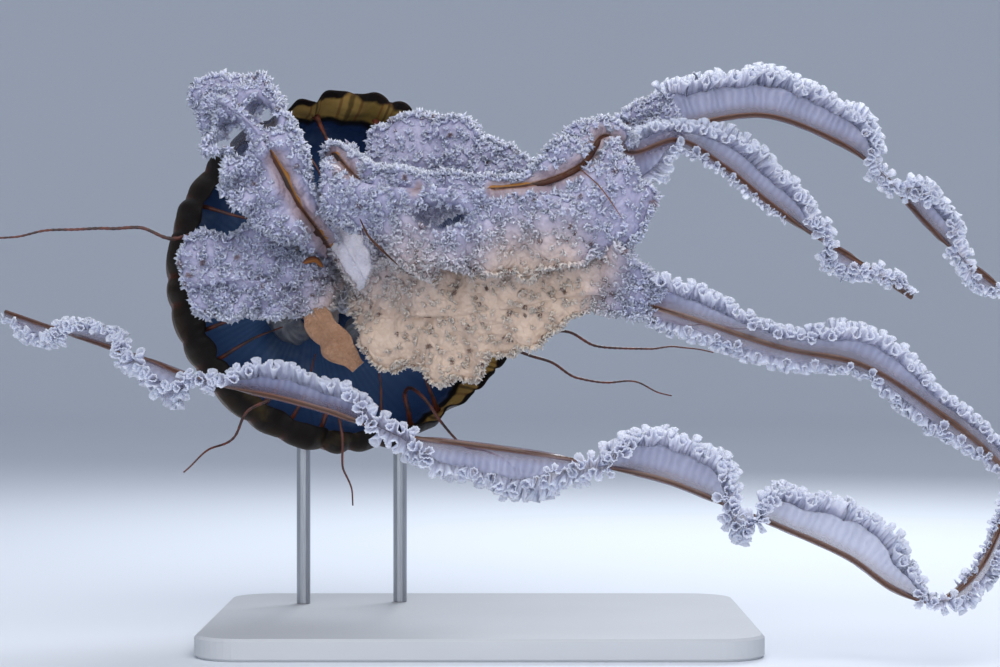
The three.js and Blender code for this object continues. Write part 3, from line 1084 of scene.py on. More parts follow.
class Curve:
    """A smooth curve through a list of places, one to each whole number from 0."""

    def __init__(self, places: Array, evenness: float = 0.0) -> None:
        """Takes the places.

        Args:
            places: n x 3 places.
            evenness: how much a long stretch is slowed: 0 for not at all, 0.5 for round bends.
        """
        first, last = 2 * places[0] - places[1], 2 * places[-1] - places[-2]
        self.knots = np.vstack([first, places, last])
        self.gaps = np.linalg.norm(np.diff(self.knots, axis=0), axis=1) ** evenness
        self.last = len(places) - 1

    def at(self, number: Array) -> Array:
        """Gives the places at these numbers.

        Args:
            number: numbers along the curve.

        Returns:
            The places.
        """
        i = np.clip(np.floor(number).astype(int), 0, self.last - 1)
        t = (np.clip(number, 0, self.last) - i)[:, None]
        a, b, c, d = (self.knots[i + k] for k in range(4))
        before, here, after = (self.gaps[i + k][:, None] for k in range(3))
        start = ((b - a) / before - (c - a) / (before + here)) * here + (c - b)
        end = (c - b) - ((d - b) / (here + after) - (d - c) / after) * here
        square, cube = 3 * (c - b) - 2 * start - end, 2 * (b - c) + start + end
        return b + start * t + square * (t * t) + cube * (t * t * t)

    def way(self, number: Array) -> Array:
        """Gives the unit vectors along the curve at these numbers.

        Args:
            number: numbers along the curve.

        Returns:
            The vectors.
        """
        near = 1e-3
        after, before = np.minimum(number + near, self.last), np.maximum(number - near, 0)
        return unit(self.at(after) - self.at(before))

    def evenly(self, step: float) -> Array:
        """Gives numbers along the whole curve whose places are about one step apart.

        Args:
            step: the distance wanted.

        Returns:
            The numbers.
        """
        fine = np.linspace(0, self.last, 40 * self.last)
        length = walked(self.at(fine))
        count = max(4, round(length[-1] / step))
        return np.interp(np.linspace(0, length[-1], count), length, fine)


def bessel(order: int, x: float) -> float:
    """Gives the Bessel function of the first kind, which measures a meander's depth."""
    angle = np.linspace(0, TURN, 64, endpoint=False)
    return float(np.mean(np.cos(order * angle - x * np.sin(angle))))


@dataclass(frozen=True)
class Folds:
    """One order of folds in a frill, each of which meanders like a river.

    Attributes:
        length: from one fold to the next, along the edge before it is folded, in millimetres.
        swing: how far the edge swings from its course, in radians. Past half a right angle more
            than a quarter turn, the folds close to loops.
        growth: the power by which folds deepen from the frill's root to its edge.
        unevenness: how much the folds differ, from 0 to 1.
    """

    length: float
    swing: float
    growth: float
    unevenness: float = 0.35

    def fold(self, points: Array, share: Array, waves: Waviness, key: float) -> Array:
        """Folds a sheet.

        Args:
            points: rows x columns x 3 places, whose last row is the free edge.
            share: each row's share of the way to the edge.
            waves: what makes the folds uneven.
            key: a number that tells this sheet's unevenness from others'.

        Returns:
            The folded places.
        """
        pace = bessel(0, self.swing)
        deep = self.length / math.pi * bessel(1, self.swing) / pace
        neck = self.length / TURN * bessel(2, self.swing) / pace
        edge = walked(points[-1]) + key
        phase = TURN * (edge / self.length + self.unevenness * waves.line(edge, 1.9 * self.length))
        strength = 1 + self.unevenness * waves.line(edge + 77 * self.length, 1.4 * self.length)
        strength = strength * share[:, None] ** self.growth
        along, normal = sheet_frame(points)
        out = (deep * strength * np.cos(phase))[..., None] * normal
        return points + out + (neck * strength * np.sin(2 * phase))[..., None] * along


def respaced(points: Array, spacing: float) -> Array:
    """Moves a sheet's columns so that they are spaced evenly along its last row.

    Args:
        points: rows x columns x 3 places.
        spacing: from column to column along the last row.

    Returns:
        The sheet with its new columns.
    """
    edge = walked(points[-1])
    wanted = np.linspace(0, edge[-1], max(6, int(edge[-1] / spacing)))
    number = np.interp(wanted, edge, np.arange(len(edge)))
    low = np.minimum(number.astype(int), len(edge) - 2)
    return mix(points[:, low], points[:, low + 1], (number - low)[None, :, None])


@dataclass(frozen=True)
class Frill:
    """A strip of lace that stands on a line and is folded in ever smaller orders.

    Attributes:
        coarse: the larger folds.
        crimp: the finest folds.
        shares: the shares of its height at which it has rows.
        spacing: from column to column along its edge.
        tapered: the length over which it gets lower at its ends.
        lowest: the share of its height that it keeps at its very ends.
    """

    coarse: tuple[Folds, ...] = (
        Folds(length=15.0, swing=1.05, growth=1.0),
        Folds(length=6.0, swing=1.8, growth=1.1),
    )
    crimp: Folds = Folds(length=1.9, swing=1.15, growth=1.8)
    shares: tuple[float, ...] = (0.0, 0.42, 0.74, 1.0)
    spacing: float = 0.58
    tapered: float = 3.0
    lowest: float = 0.3

    def grow(self, root: Array, rise: Array, height: Array, waves: Waviness, key: float) -> Strip:
        """Makes the strip.

        Args:
            root: the line that it stands on.
            rise: the vector that it rises along, at each point of the line.
            height: its height at each point. It is lower at the ends.
            waves: what makes it uneven.
            key: a number that tells this strip's unevenness from others'.

        Returns:
            The strip, with its tone rising from root to edge.
        """
        share = np.array(self.shares)
        length = walked(root)
        to_end = np.minimum(length, length[-1] - length)
        height = height * mix(self.lowest, 1.0, smoothstep(to_end / self.tapered))
        points = root[None] + unit(rise)[None] * (height[None] * share[:, None])[..., None]
        for folds in self.coarse:
            points = folds.fold(points, share, waves, key)
        points = self.crimp.fold(respaced(points, self.spacing), share, waves, key)
        return Strip(points, {"tone": share[:, None] + 0 * points[..., 0]})


@dataclass(frozen=True)
class Floret:
    """A tuft of lace: a small ruffled flower with fingers all round, closed on its underside.

    Attributes:
        fingers: how many it has.
        rows: the radius, height and tone of its rings, from its middle to its foot. Between
            its fingers, the third ring is drawn in.
        notch: how far it is drawn in there.
        wave: how far its rings rise and fall.
        lobed: how far it is from round.
        turned: how far a finger may turn aside, in radians.
        reaches: the least and greatest reach of a finger.
    """

    fingers: int = 9
    rows: tuple = ((0.0, 0.5, 0.1), (1.3, 1.4, 0.5), (3.0, 1.5, 1.0), (0.8, -0.9, 0.1))
    notch: float = 0.52
    wave: float = 0.48
    lobed: float = 0.18
    turned: float = 0.13
    reaches: tuple[float, float] = (0.72, 1.15)

    def grow(self, places: Array, rise: Array, size: Array, seed: int) -> list[Strip]:
        """Makes a floret at each place.

        Args:
            places: n x 3 places.
            rise: the unit vector that each rises along.
            size: the size of each.
            seed: the seed of their unevenness.

        Returns:
            The florets, with their tone rising to the tips of their fingers.
        """
        draw = np.random.default_rng(seed)
        count, columns = len(places), 2 * self.fingers
        aside = unit(np.cross(rise, draw.normal(size=(count, 3))))
        across = np.cross(rise, aside)
        radii, heights, tones = np.array(self.rows).T[:, None, :, None]
        angle = np.linspace(0, TURN, columns, endpoint=False)
        angle = angle + draw.uniform(-self.turned, self.turned, (count, columns))
        phase = draw.uniform(0, TURN, (count, 2, 1))
        ruffle = np.sin(3 * angle + phase[:, 0])[:, None]
        lobe = 1 + self.lobed * np.sin(2 * angle + phase[:, 1])[:, None]
        reach = draw.uniform(*self.reaches, (count, columns))
        finger = np.where(np.arange(columns) % 2, self.notch, reach)
        outer = np.arange(len(self.rows))[:, None] == 2
        drawn = np.where(outer, finger[:, None], 1.0)
        radius = radii * drawn * lobe
        rising = np.where(radii > 1, self.wave * ruffle, 0.0) * (1 + outer)
        height = heights + rising + 0.4 * outer * (drawn - 0.8)
        ring = np.cos(angle)[:, None, :, None] * aside[:, None, None]
        ring = ring + np.sin(angle)[:, None, :, None] * across[:, None, None]
        local = radius[..., None] * ring + height[..., None] * rise[:, None, None]
        points = places[:, None, None] + size[:, None, None, None] * local
        points = np.concatenate([points, points[:, :, :1]], axis=2)
        tone = tones * np.where(outer, drawn, 1.0)
        tone = np.concatenate([tone, tone[:, :, :1]], axis=2)
        return [Strip(points[i], {"tone": tone[i]}) for i in range(count)]


# ---------- the oral arms


class Wing(Enum):
    """The two wings of an arm, by the sign of their way out from its keel."""

    FIRST = 1
    SECOND = -1


@dataclass
class Stretch:
    """An arm's frame at many places along it.

    Attributes:
        number: the station number of each place.
        length: the distance along the keel.
        keel: the places of the keel.
        out: the unit vector from the keel towards the first wing.
        face: the unit vector square to the wings.
        widths: the widths of the two wings.
        full: 1 where the wings are swollen with folds and lace, and 0 where they are thin.
        bare: 1 where the midrib shows, and 0 where lace hides it.
    """

    number: Array
    length: Array
    keel: Array
    out: Array
    face: Array
    widths: dict[Wing, Array]
    full: Array
    bare: Array

    def part(self, span: slice) -> Stretch:
        """Gives the frame over a part of these places.

        Args:
            span: which places.

        Returns:
            The frame over them.
        """
        widths = {wing: width[span] for wing, width in self.widths.items()}
        lines = (self.number, self.length, self.keel, self.out, self.face)
        return Stretch(*(line[span] for line in lines), widths, self.full[span], self.bare[span])


@dataclass(frozen=True)
class Clumps:
    """The rosettes in which lace gathers on one face of a wing.

    Attributes:
        middles: the distance along the keel and out from it of each rosette's middle.
        heights: how far each stands out.
        radius: the reach of one rosette.
        soft: the width over which neighbours blend.
        bulge: how far a rosette's middle stands out of its rim.
    """

    middles: Array
    heights: Array
    radius: float = 7.0
    soft: float = 3.2
    bulge: float = 3.8

    def apart(self, length: Array, reach: Array) -> Array:
        """Gives the distance from each place to each rosette's middle."""
        along, out = self.middles.T
        return np.hypot(length[..., None] - along, reach[..., None] - out)

    def aside(self, length: Array, reach: Array) -> Array:
        """Gives the way from the nearest rosette's middle to each place."""
        nearest = self.apart(length, reach).argmin(axis=-1)
        return np.stack([length, reach], axis=-1) - self.middles[nearest]

    def lift(self, length: Array, reach: Array) -> Array:
        """Gives how far the face stands out at each place.

        Args:
            length: the distance along the keel.
            reach: the distance out from it.

        Returns:
            The height over the wing's middle sheet.
        """
        apart = self.apart(length, reach)
        pull = np.exp(-((apart / self.soft) ** 2) / 2) + 1e-9
        height = (pull * self.heights).sum(-1) / pull.sum(-1)
        return height + self.bulge * (1 - np.clip(apart.min(-1) / self.radius, 0, 1) ** 2)


@dataclass
class Arm:
    """One frilled oral arm.

    Attributes:
        name: its name.
        rows: its stations, as the keel's x, y and z, the wings' roll in degrees, and the widths
            of the first and second wing. At no roll the first wing points up for an arm that
            runs towards +X.
        deep: the station up to which lace covers the wings' faces. Beyond it, only their edges.
        bare: the spans of stations where the midrib shows.
        seed: the seed of its unevenness.
        drape: how far the edges of the first and second wing lean out of the front face.
        windows: places where the sheet is clear and has no lace, as the wing, the station, the
            distance from the keel, and the half length and half width.
        keel_clear: how far the lace keeps from a midrib that shows.
        gilded: the wing on whose side the midrib has its golden edge.
        drawn_in: how much a wing narrows on the inside of a bend.
        sheet_share: the share of a full wing's width that is sheet and not frill.
        ribbon_share: that share of a thin wing.
        rib: how far the skin swells over the midrib.
        swelling: how much a full wing swells, for its width, up to thickest.
        clump_apart: how far apart rosettes are, as for the florets of each face and the edge.
        smoothness: the share of florets left out where the lace is cream.
        levelled: how much lower the rosettes are there.
        warm_top: the height below which lace turns cream, over warm_depth.
        warm_left: where it turns cream from the left, over warm_left_width, as from the right.
        warm_cloud: how uneven the cream's border is.
        spotted_share: the share of florets with a dark middle.
        full_rib: the midrib's size on a full wing.
        least_width: the width under which a wing has no lace.
        darts: how many places are tried for rosettes.
    """

    name: str
    rows: tuple
    deep: float
    bare: tuple[tuple[float, float], ...]
    seed: int
    drape: tuple[float, float] = (0.0, 0.0)
    windows: tuple = ()
    keel_clear: float = 2.0
    gilded: Wing = Wing.FIRST
    drawn_in: float = 0.9
    sheet_share: float = 0.86
    ribbon_share: float = 0.62
    skin_step: float = 1.5
    skin_rows: int = 12
    wall: float = 0.5
    rib: float = 1.0
    swelling: float = 0.3
    thickest: float = 7.0
    clump_apart: float = 10.5
    front_apart: float = 3.2
    back_apart: float = 4.8
    edge_apart: float = 2.5
    smoothness: float = 0.58
    levelled: float = 0.5
    warm_top: float = 240.0
    warm_depth: float = 60.0
    warm_left: float = -106.0
    warm_right: float = 82.0
    warm_left_width: float = 34.0
    warm_right_width: float = 44.0
    warm_cloud: float = 12.0
    spotted_share: float = 0.03
    full_rib: float = 1.5
    least_width: float = 3.6
    root_step: float = 0.13
    shortest_frill: float = 5.0
    darts: int = 4000

    def __post_init__(self) -> None:
        """Lays out the keel and scatters the rosettes."""
        self.table = np.array(self.rows, float)
        self.keel = Curve(self.table[:, :3])
        self.waves = Waviness(self.seed)
        self.numbers = np.linspace(0, self.keel.last, 60 * self.keel.last)
        self.lengths = walked(self.keel.at(self.numbers))
        sides = ((wing, face) for wing in Wing for face in (1, -1))
        self.clumps = {side: self._scattered(*side) for side in sides}

    def stretch(self, number: Array) -> Stretch:
        """Gives the arm's frame at these stations.

        Args:
            number: station numbers.

        Returns:
            The frame there.
        """
        last = self.keel.last
        i = np.clip(np.floor(number).astype(int), 0, last - 1)
        part = smoothstep(number - i)[:, None]
        roll, first, second = mix(self.table[i, 3:], self.table[i + 1, 3:], part).T
        roll = np.radians(roll)[:, None]
        way = self.keel.way(number)
        across = unit(np.cross(way, (0, 1, 0)))
        out = across * np.cos(roll) + np.cross(way, across) * np.sin(roll)
        near = 0.4
        after, before = np.minimum(number + near, last), np.maximum(number - near, 0)
        chord = np.linalg.norm(self.keel.at(after) - self.keel.at(before), axis=1)
        bend = np.sum((self.keel.way(after) - self.keel.way(before)) * out, axis=1) / chord
        widths = {
            wing: width / (1 + self.drawn_in * width * np.maximum(bend * wing.value, 0))
            for wing, width in ((Wing.FIRST, first), (Wing.SECOND, second))
        }
        length = np.interp(number, self.numbers, self.lengths)
        full = smoothstep((self.deep + 0.6 - number) / 1.2)
        bare = 0 * number
        for start, end in self.bare:
            bare = bare + smoothstep((number - start) / 0.2) * smoothstep((end - number) / 0.2)
        keel, face = self.keel.at(number), np.cross(way, out)
        return Stretch(number, length, keel, out, face, widths, full, bare)

    def edge(self, stretch: Stretch, wing: Wing) -> Array:
        """Gives the reach of a wing's lobed edge, without its frill.

        Args:
            stretch: the frame along the arm.
            wing: the wing.

        Returns:
            The distance from the keel.
        """
        width = stretch.widths[wing] * mix(self.ribbon_share, self.sheet_share, stretch.full)
        phase = stretch.length / 15 + 0.6 * self.waves.line(stretch.length + 37 * wing.value, 19.0)
        lobe = np.abs(np.sin(math.pi * phase)) ** 0.6 - 0.7
        uneven = 0.7 * self.waves.line(stretch.length + 200 * wing.value, 7.0)
        return width + np.minimum(0.18 * width, 5.5) * (lobe + uneven) * mix(0.4, 1.0, stretch.full)

    def _scattered(self, wing: Wing, face: int) -> Clumps:
        """Scatters rosettes over one face of a wing.

        Args:
            wing: the wing.
            face: 1 or -1, for the face.

        Returns:
            The rosettes.
        """
        draw = np.random.default_rng([self.seed, wing.value + 1, face + 1])
        number = self.numbers[self.numbers < self.deep + 0.8]
        stretch = self.stretch(number)
        edge = self.edge(stretch, wing)
        darts = draw.uniform((0, 0), (stretch.length[-1], max(edge.max(), 1.0)), (self.darts, 2))
        kept = [np.zeros(2)]
        for dart in darts:
            inside = dart[1] < np.interp(dart[0], stretch.length, edge) - 1
            if inside and np.linalg.norm(np.array(kept) - dart, axis=1).min() > self.clump_apart:
                kept.append(dart)
        return Clumps(np.array(kept), draw.uniform(-2.6, 2.4, len(kept)))

    def window(self, wing: Wing, length: Array, reach: Array) -> Array:
        """Gives 1 inside the windows of a wing and 0 outside them.

        Args:
            wing: the wing.
            length: the distance along the keel.
            reach: the distance out from it.

        Returns:
            How clear it is there.
        """
        inside = 0 * (length + reach)
        for where, number, middle, long, wide in self.windows:
            if where is wing:
                along = (length - np.interp(number, self.numbers, self.lengths)) / long
                away = np.hypot(along, (reach - middle) / wide)
                inside = np.maximum(inside, smoothstep((1.25 - away) / 0.5))
        return inside

    def surface(self, stretch: Stretch, wing: Wing, reach: Array, face: int) -> Array:
        """Gives places on one face of a wing.

        Args:
            stretch: the frame along the arm.
            wing: the wing.
            reach: the distance out from the keel, for each place along the arm, in rows or not.
            face: 1 for the face that the frame's face vector points out of, and -1 for the other.

        Returns:
            The places.
        """
        waves = self.waves
        width = np.maximum(stretch.widths[wing], 0.5)
        share = np.clip(reach / width, 0, 1)
        length = stretch.length + 0 * reach
        apart = length + 60 * wing.value
        bow = 0.1 * width * np.sin(math.pi * share) * waves.line(apart, 60.0)
        phase = TURN * (apart / 25 + 0.3 * waves.line(apart, 38.0))
        folds = np.minimum(0.15 * width, 4.5) * share**1.4 * np.sin(phase)
        heave = np.minimum(0.16 * width, 5.0) * waves.sheet(apart, reach, 21.0)
        folds = folds + stretch.full * heave
        drape = self.drape[0] if wing is Wing.FIRST else self.drape[1]
        folds = folds + drape * share**2 * stretch.full
        dome = mix((1 - share**2) ** 0.6, np.sin(math.pi * share**0.8), stretch.bare)
        full = stretch.full * smoothstep(width / 15)
        swell = full * np.minimum(self.swelling * width, self.thickest) * dome
        flat = stretch.keel + stretch.out * (wing.value * reach)[..., None]
        clump = self.clumps[wing, face].lift(length, reach) if full.any() else 0
        clump = clump * (1 - self.levelled * self.warmth(flat, 1.0))
        swell = swell + full * clump * smoothstep(reach / 4 + 1 - stretch.bare)
        swell = swell + full * 0.7 * waves.sheet(length + 300, reach + 31 * face, 3.5)
        swell = swell * (1 - self.window(wing, length, reach))
        lift = bow + folds + face * (swell + self.wall / 2)
        return flat + stretch.face * lift[..., None]

    def warmth(self, points: Array, full: float | Array) -> Array:
        """Gives how cream rather than lavender the lace is: most low in the middle of the mass.

        Args:
            points: the places.
            full: how full the wing is, from 0 to 1.

        Returns:
            The warmth, from 0 to 1.
        """
        x, _, z = np.moveaxis(points, -1, 0)
        cloud = self.warm_cloud * self.waves.sheet(x + 400, z, 26.0)
        low = smoothstep((self.warm_top + 0.1 * x + cloud - z) / self.warm_depth)
        left = smoothstep((x - self.warm_left + cloud) / self.warm_left_width)
        return full * low * left * smoothstep((self.warm_right - x + cloud) / self.warm_right_width)

    def skin(self) -> Skin:
        """Makes the arm's membrane as one closed skin, with its midrib's swelling.

        Returns:
            The skin, with all its marks.
        """
        stretch = self.stretch(self.keel.evenly(self.skin_step))
        share = np.linspace(0, 1, self.skin_rows)[:, None] ** 1.5
        sides = []
        for face in (1, -1):
            wings = []
            for wing in Wing:
                reach = share * self.edge(stretch, wing)
                rib = face * stretch.bare * self.rib * np.exp(-((reach / 1.4) ** 2))
                place = self.surface(stretch, wing, reach, face) + rib[..., None] * stretch.face
                window = self.window(wing, stretch.length + 0 * reach, reach)
                wings.append(np.concatenate([place, reach[..., None], window[..., None]], axis=-1))
            sides.append(np.concatenate([wings[0][:0:-1], wings[1]]))
        table = np.concatenate([sides[0], sides[1][::-1], sides[0][:1]])
        points, reach, window = table[..., :3], table[..., 3], table[..., 4]
        shown = np.clip(reach / 12 + 1 - stretch.bare, 0, 1)
        marks = {
            "tone": shown,
            "warmth": self.warmth(points, stretch.full),
            "full": stretch.full + 0 * reach,
            "window": window,
        }
        pattern = np.stack(np.broadcast_arrays(stretch.length, reach), axis=-1)
        strip = Strip(points, marks, pattern=pattern)
        return Skin(f"{self.name}_skin", [strip], closed=True, bake_rows=12)

    def lace(self) -> list[Strip]:
        """Grows the frills along the thin part of both wings' edges.

        Returns:
            The frills.
        """
        stretch = self.stretch(self.keel.evenly(self.root_step))
        shortest = int(self.shortest_frill / self.root_step)
        strips = []
        for wing in Wing:
            edge = self.edge(stretch, wing)
            there = (stretch.widths[wing] > self.least_width) & (stretch.full <= 0.5)
            for start, end in runs(there, shortest):
                part = stretch.part(slice(start, end))
                strips += [self._frill(part, wing, edge[start:end], face) for face in (1, -1)]
        return strips

    def _frill(self, part: Stretch, wing: Wing, reach: Array, face: int) -> Strip:
        """Grows one frill along a wing's edge, leaning to one face.

        Args:
            part: the frame along the frill.
            wing: the wing.
            reach: the reach of the wing's edge.
            face: 1 or -1, for the face that it leans to.

        Returns:
            The frill.
        """
        width = part.widths[wing]
        length = part.length + 131 * face + 57 * wing.value
        tilt = np.radians(28 + 14 * self.waves.line(length, 15.0) + 20 * (face > 0))[:, None]
        height = np.clip(0.5 * width + 2.0, 2.4, 11.5)
        height = height * (0.95 + 0.3 * self.waves.line(length, 13.0))
        height = height * smoothstep((width - self.least_width) / 2.5)
        rise = wing.value * part.out * np.cos(tilt) + face * part.face * np.sin(tilt)
        root = self.surface(part, wing, reach, face)
        strip = Frill().grow(root, rise, height, self.waves, abs(length[0]))
        strip.marks["warmth"] = strip.marks["spotted"] = 0 * strip.marks["tone"]
        return strip

    def florets(self) -> list[Strip]:
        """Covers both faces and the edges of both wings with florets, as far as the arm is full.

        Returns:
            The florets.
        """
        return [
            strip
            for wing in Wing
            for face in (1, -1)
            for strip in self._on_face(wing, face) + self.on_edge(wing, face)
        ]

    def _on_face(self, wing: Wing, face: int) -> list[Strip]:
        """Covers one face of a wing.

        Args:
            wing: the wing.
            face: 1 or -1, for the face.

        Returns:
            The florets.
        """
        draw = np.random.default_rng([self.seed, wing.value + 5, face + 5])
        apart = self.front_apart if face == self.front() else self.back_apart
        number = self.numbers[self.numbers < self.deep + 0.8]
        whole = self.stretch(number)
        edge = self.edge(whole, wing)
        along = np.arange(apart / 2, whole.length[-1], 0.87 * apart)
        out = np.arange(0.4 * apart, max(edge.max(), apart), apart)
        length, reach = np.meshgrid(along, out, indexing="ij")
        reach = reach + 0.5 * apart * (np.arange(len(along)) % 2)[:, None]
        length = (length + draw.uniform(-0.38, 0.38, length.shape) * apart).ravel()
        reach = (reach + draw.uniform(-0.38, 0.38, reach.shape) * apart).ravel()
        stretch = self.at_length(length)
        clear = self.keel_clear * (1 + 0.5 * self.waves.line(length + 50, 9.0)) * stretch.bare
        there = (reach > clear) & (reach < self.edge(stretch, wing) - 0.5) & (stretch.full > 0.35)
        there &= (self.window(wing, length, reach) < 0.5) & (length > 3)
        length, reach = length[there], reach[there]
        warmth = self.warmth(self.laid(wing, face, length, reach)[0], 1.0)
        kept = draw.uniform(0, 1, len(length)) > self.smoothness * warmth
        length, reach = length[kept], reach[kept]
        place, normal, way, out = self.laid(wing, face, length, reach)
        aside = self.clumps[wing, face].aside(length, reach) / self.clump_apart
        lean = aside[:, :1] * way + aside[:, 1:] * out
        rise = unit(normal + 1.3 * lean + draw.normal(0, 0.22, place.shape))
        size = apart / 3.4 * draw.uniform(0.7, 1.15, len(place))
        return self._grown(place, rise, size, length, reach, wing, face)

    def on_edge(self, wing: Wing, face: int) -> list[Strip]:
        """Sets florets along a wing's edge, leaning out and to one face.

        Args:
            wing: the wing.
            face: 1 or -1, for the face.

        Returns:
            The florets.
        """
        draw = np.random.default_rng([self.seed, wing.value + 9, face + 9])
        number = self.numbers[self.numbers < self.deep + 0.8]
        whole = self.stretch(number)
        line = self.surface(whole, wing, self.edge(whole, wing), face)
        walk = walked(line)
        steps = np.arange(self.edge_apart, walk[-1], self.edge_apart)
        length = np.interp(steps, walk, whole.length)
        stretch = self.at_length(length)
        there = (stretch.full > 0.35) & (stretch.widths[wing] > self.least_width) & (length > 3)
        length, stretch = length[there], stretch.part(there)
        reach = self.edge(stretch, wing) - 0.3
        place, normal, _, out = self.laid(wing, face, length, reach)
        rise = unit(out + 0.7 * normal + draw.normal(0, 0.3, place.shape))
        size = draw.uniform(0.8, 1.35, len(place))
        return self._grown(place, rise, size, length, reach, wing, face)

    def at_length(self, length: Array) -> Stretch:
        """Gives the arm's frame at these distances along the keel."""
        return self.stretch(np.interp(length, self.lengths, self.numbers))

    def _at(self, wing: Wing, face: int, length: Array, reach: Array) -> Array:
        """Gives the places on one face of a wing at a distance along the keel and out from it."""
        return self.surface(self.at_length(length), wing, reach, face)

    def laid(self, wing: Wing, face: int, length: Array, reach: Array) -> tuple:
        """Gives the place, the normal and the ways along and out, on one face of a wing.

        Args:
            wing: the wing.
            face: 1 or -1, for the face.
            length: the distance along the keel.
            reach: the distance out from it.

        Returns:
            The places and the three unit vectors.
        """
        near = 0.8
        after, before = (self._at(wing, face, length + step, reach) for step in (near, -near))
        way = unit(after - before)
        further, nearer = reach + near, np.maximum(reach - near, 0)
        out = unit(self._at(wing, face, length, further) - self._at(wing, face, length, nearer))
        normal = unit(np.cross(way, out))
        facing = self.at_length(length).face * face
        normal = normal * np.sign((normal * facing).sum(axis=1, keepdims=True))
        return self._at(wing, face, length, reach), normal, way, out

    def front(self) -> int:
        """Tells which face of the wings looks towards -Y."""
        middle = self.stretch(np.array([0.4 * self.keel.last]))
        return 1 if middle.face[0, 1] < 0 else -1

    def _grown(
        self,
        place: Array,
        rise: Array,
        size: Array,
        length: Array,
        reach: Array,
        wing: Wing,
        face: int,
    ) -> list[Strip]:
        """Grows florets, and marks their colour and where they stand on the skin.

        Args:
            place: where each stands.
            rise: the way that each rises.
            size: the size of each.
            length: the distance along the keel.
            reach: the distance out from it.
            wing: the wing.
            face: 1 or -1, for the face.

        Returns:
            The florets.
        """
        if not len(place):
            return []
        seed = 1000 * self.seed + 100 * (wing.value + 1) + face + 1 + len(place)
        draw = np.random.default_rng(seed + 1)
        full = self.at_length(length).full
        warmth = self.warmth(place, full)
        strips = Floret().grow(place, rise, size * mix(1, 0.8, warmth), seed)
        spotted = draw.uniform(0, 1, len(place)) < self.spotted_share * (1 + 2 * warmth)
        across = reach * wing.value + 3 * self.table[:, 4:].max() * (face < 0)
        for i, strip in enumerate(strips):
            strip.marks["warmth"] = warmth[i] + 0 * strip.marks["tone"]
            strip.marks["spotted"] = spotted[i] * np.where(strip.marks["tone"] < 0.6, 0.8, 0.0)
            strip.root = np.array([length[i], across[i]])
        return strips


def runs(there: Array, shortest: int) -> list[tuple[int, int]]:
    """Finds the unbroken runs of true values that are at least so long."""
    steps = np.flatnonzero(np.diff(np.concatenate([[0], there.astype(int), [0]])))
    return [(a, b) for a, b in zip(steps[::2], steps[1::2]) if b - a >= shortest]


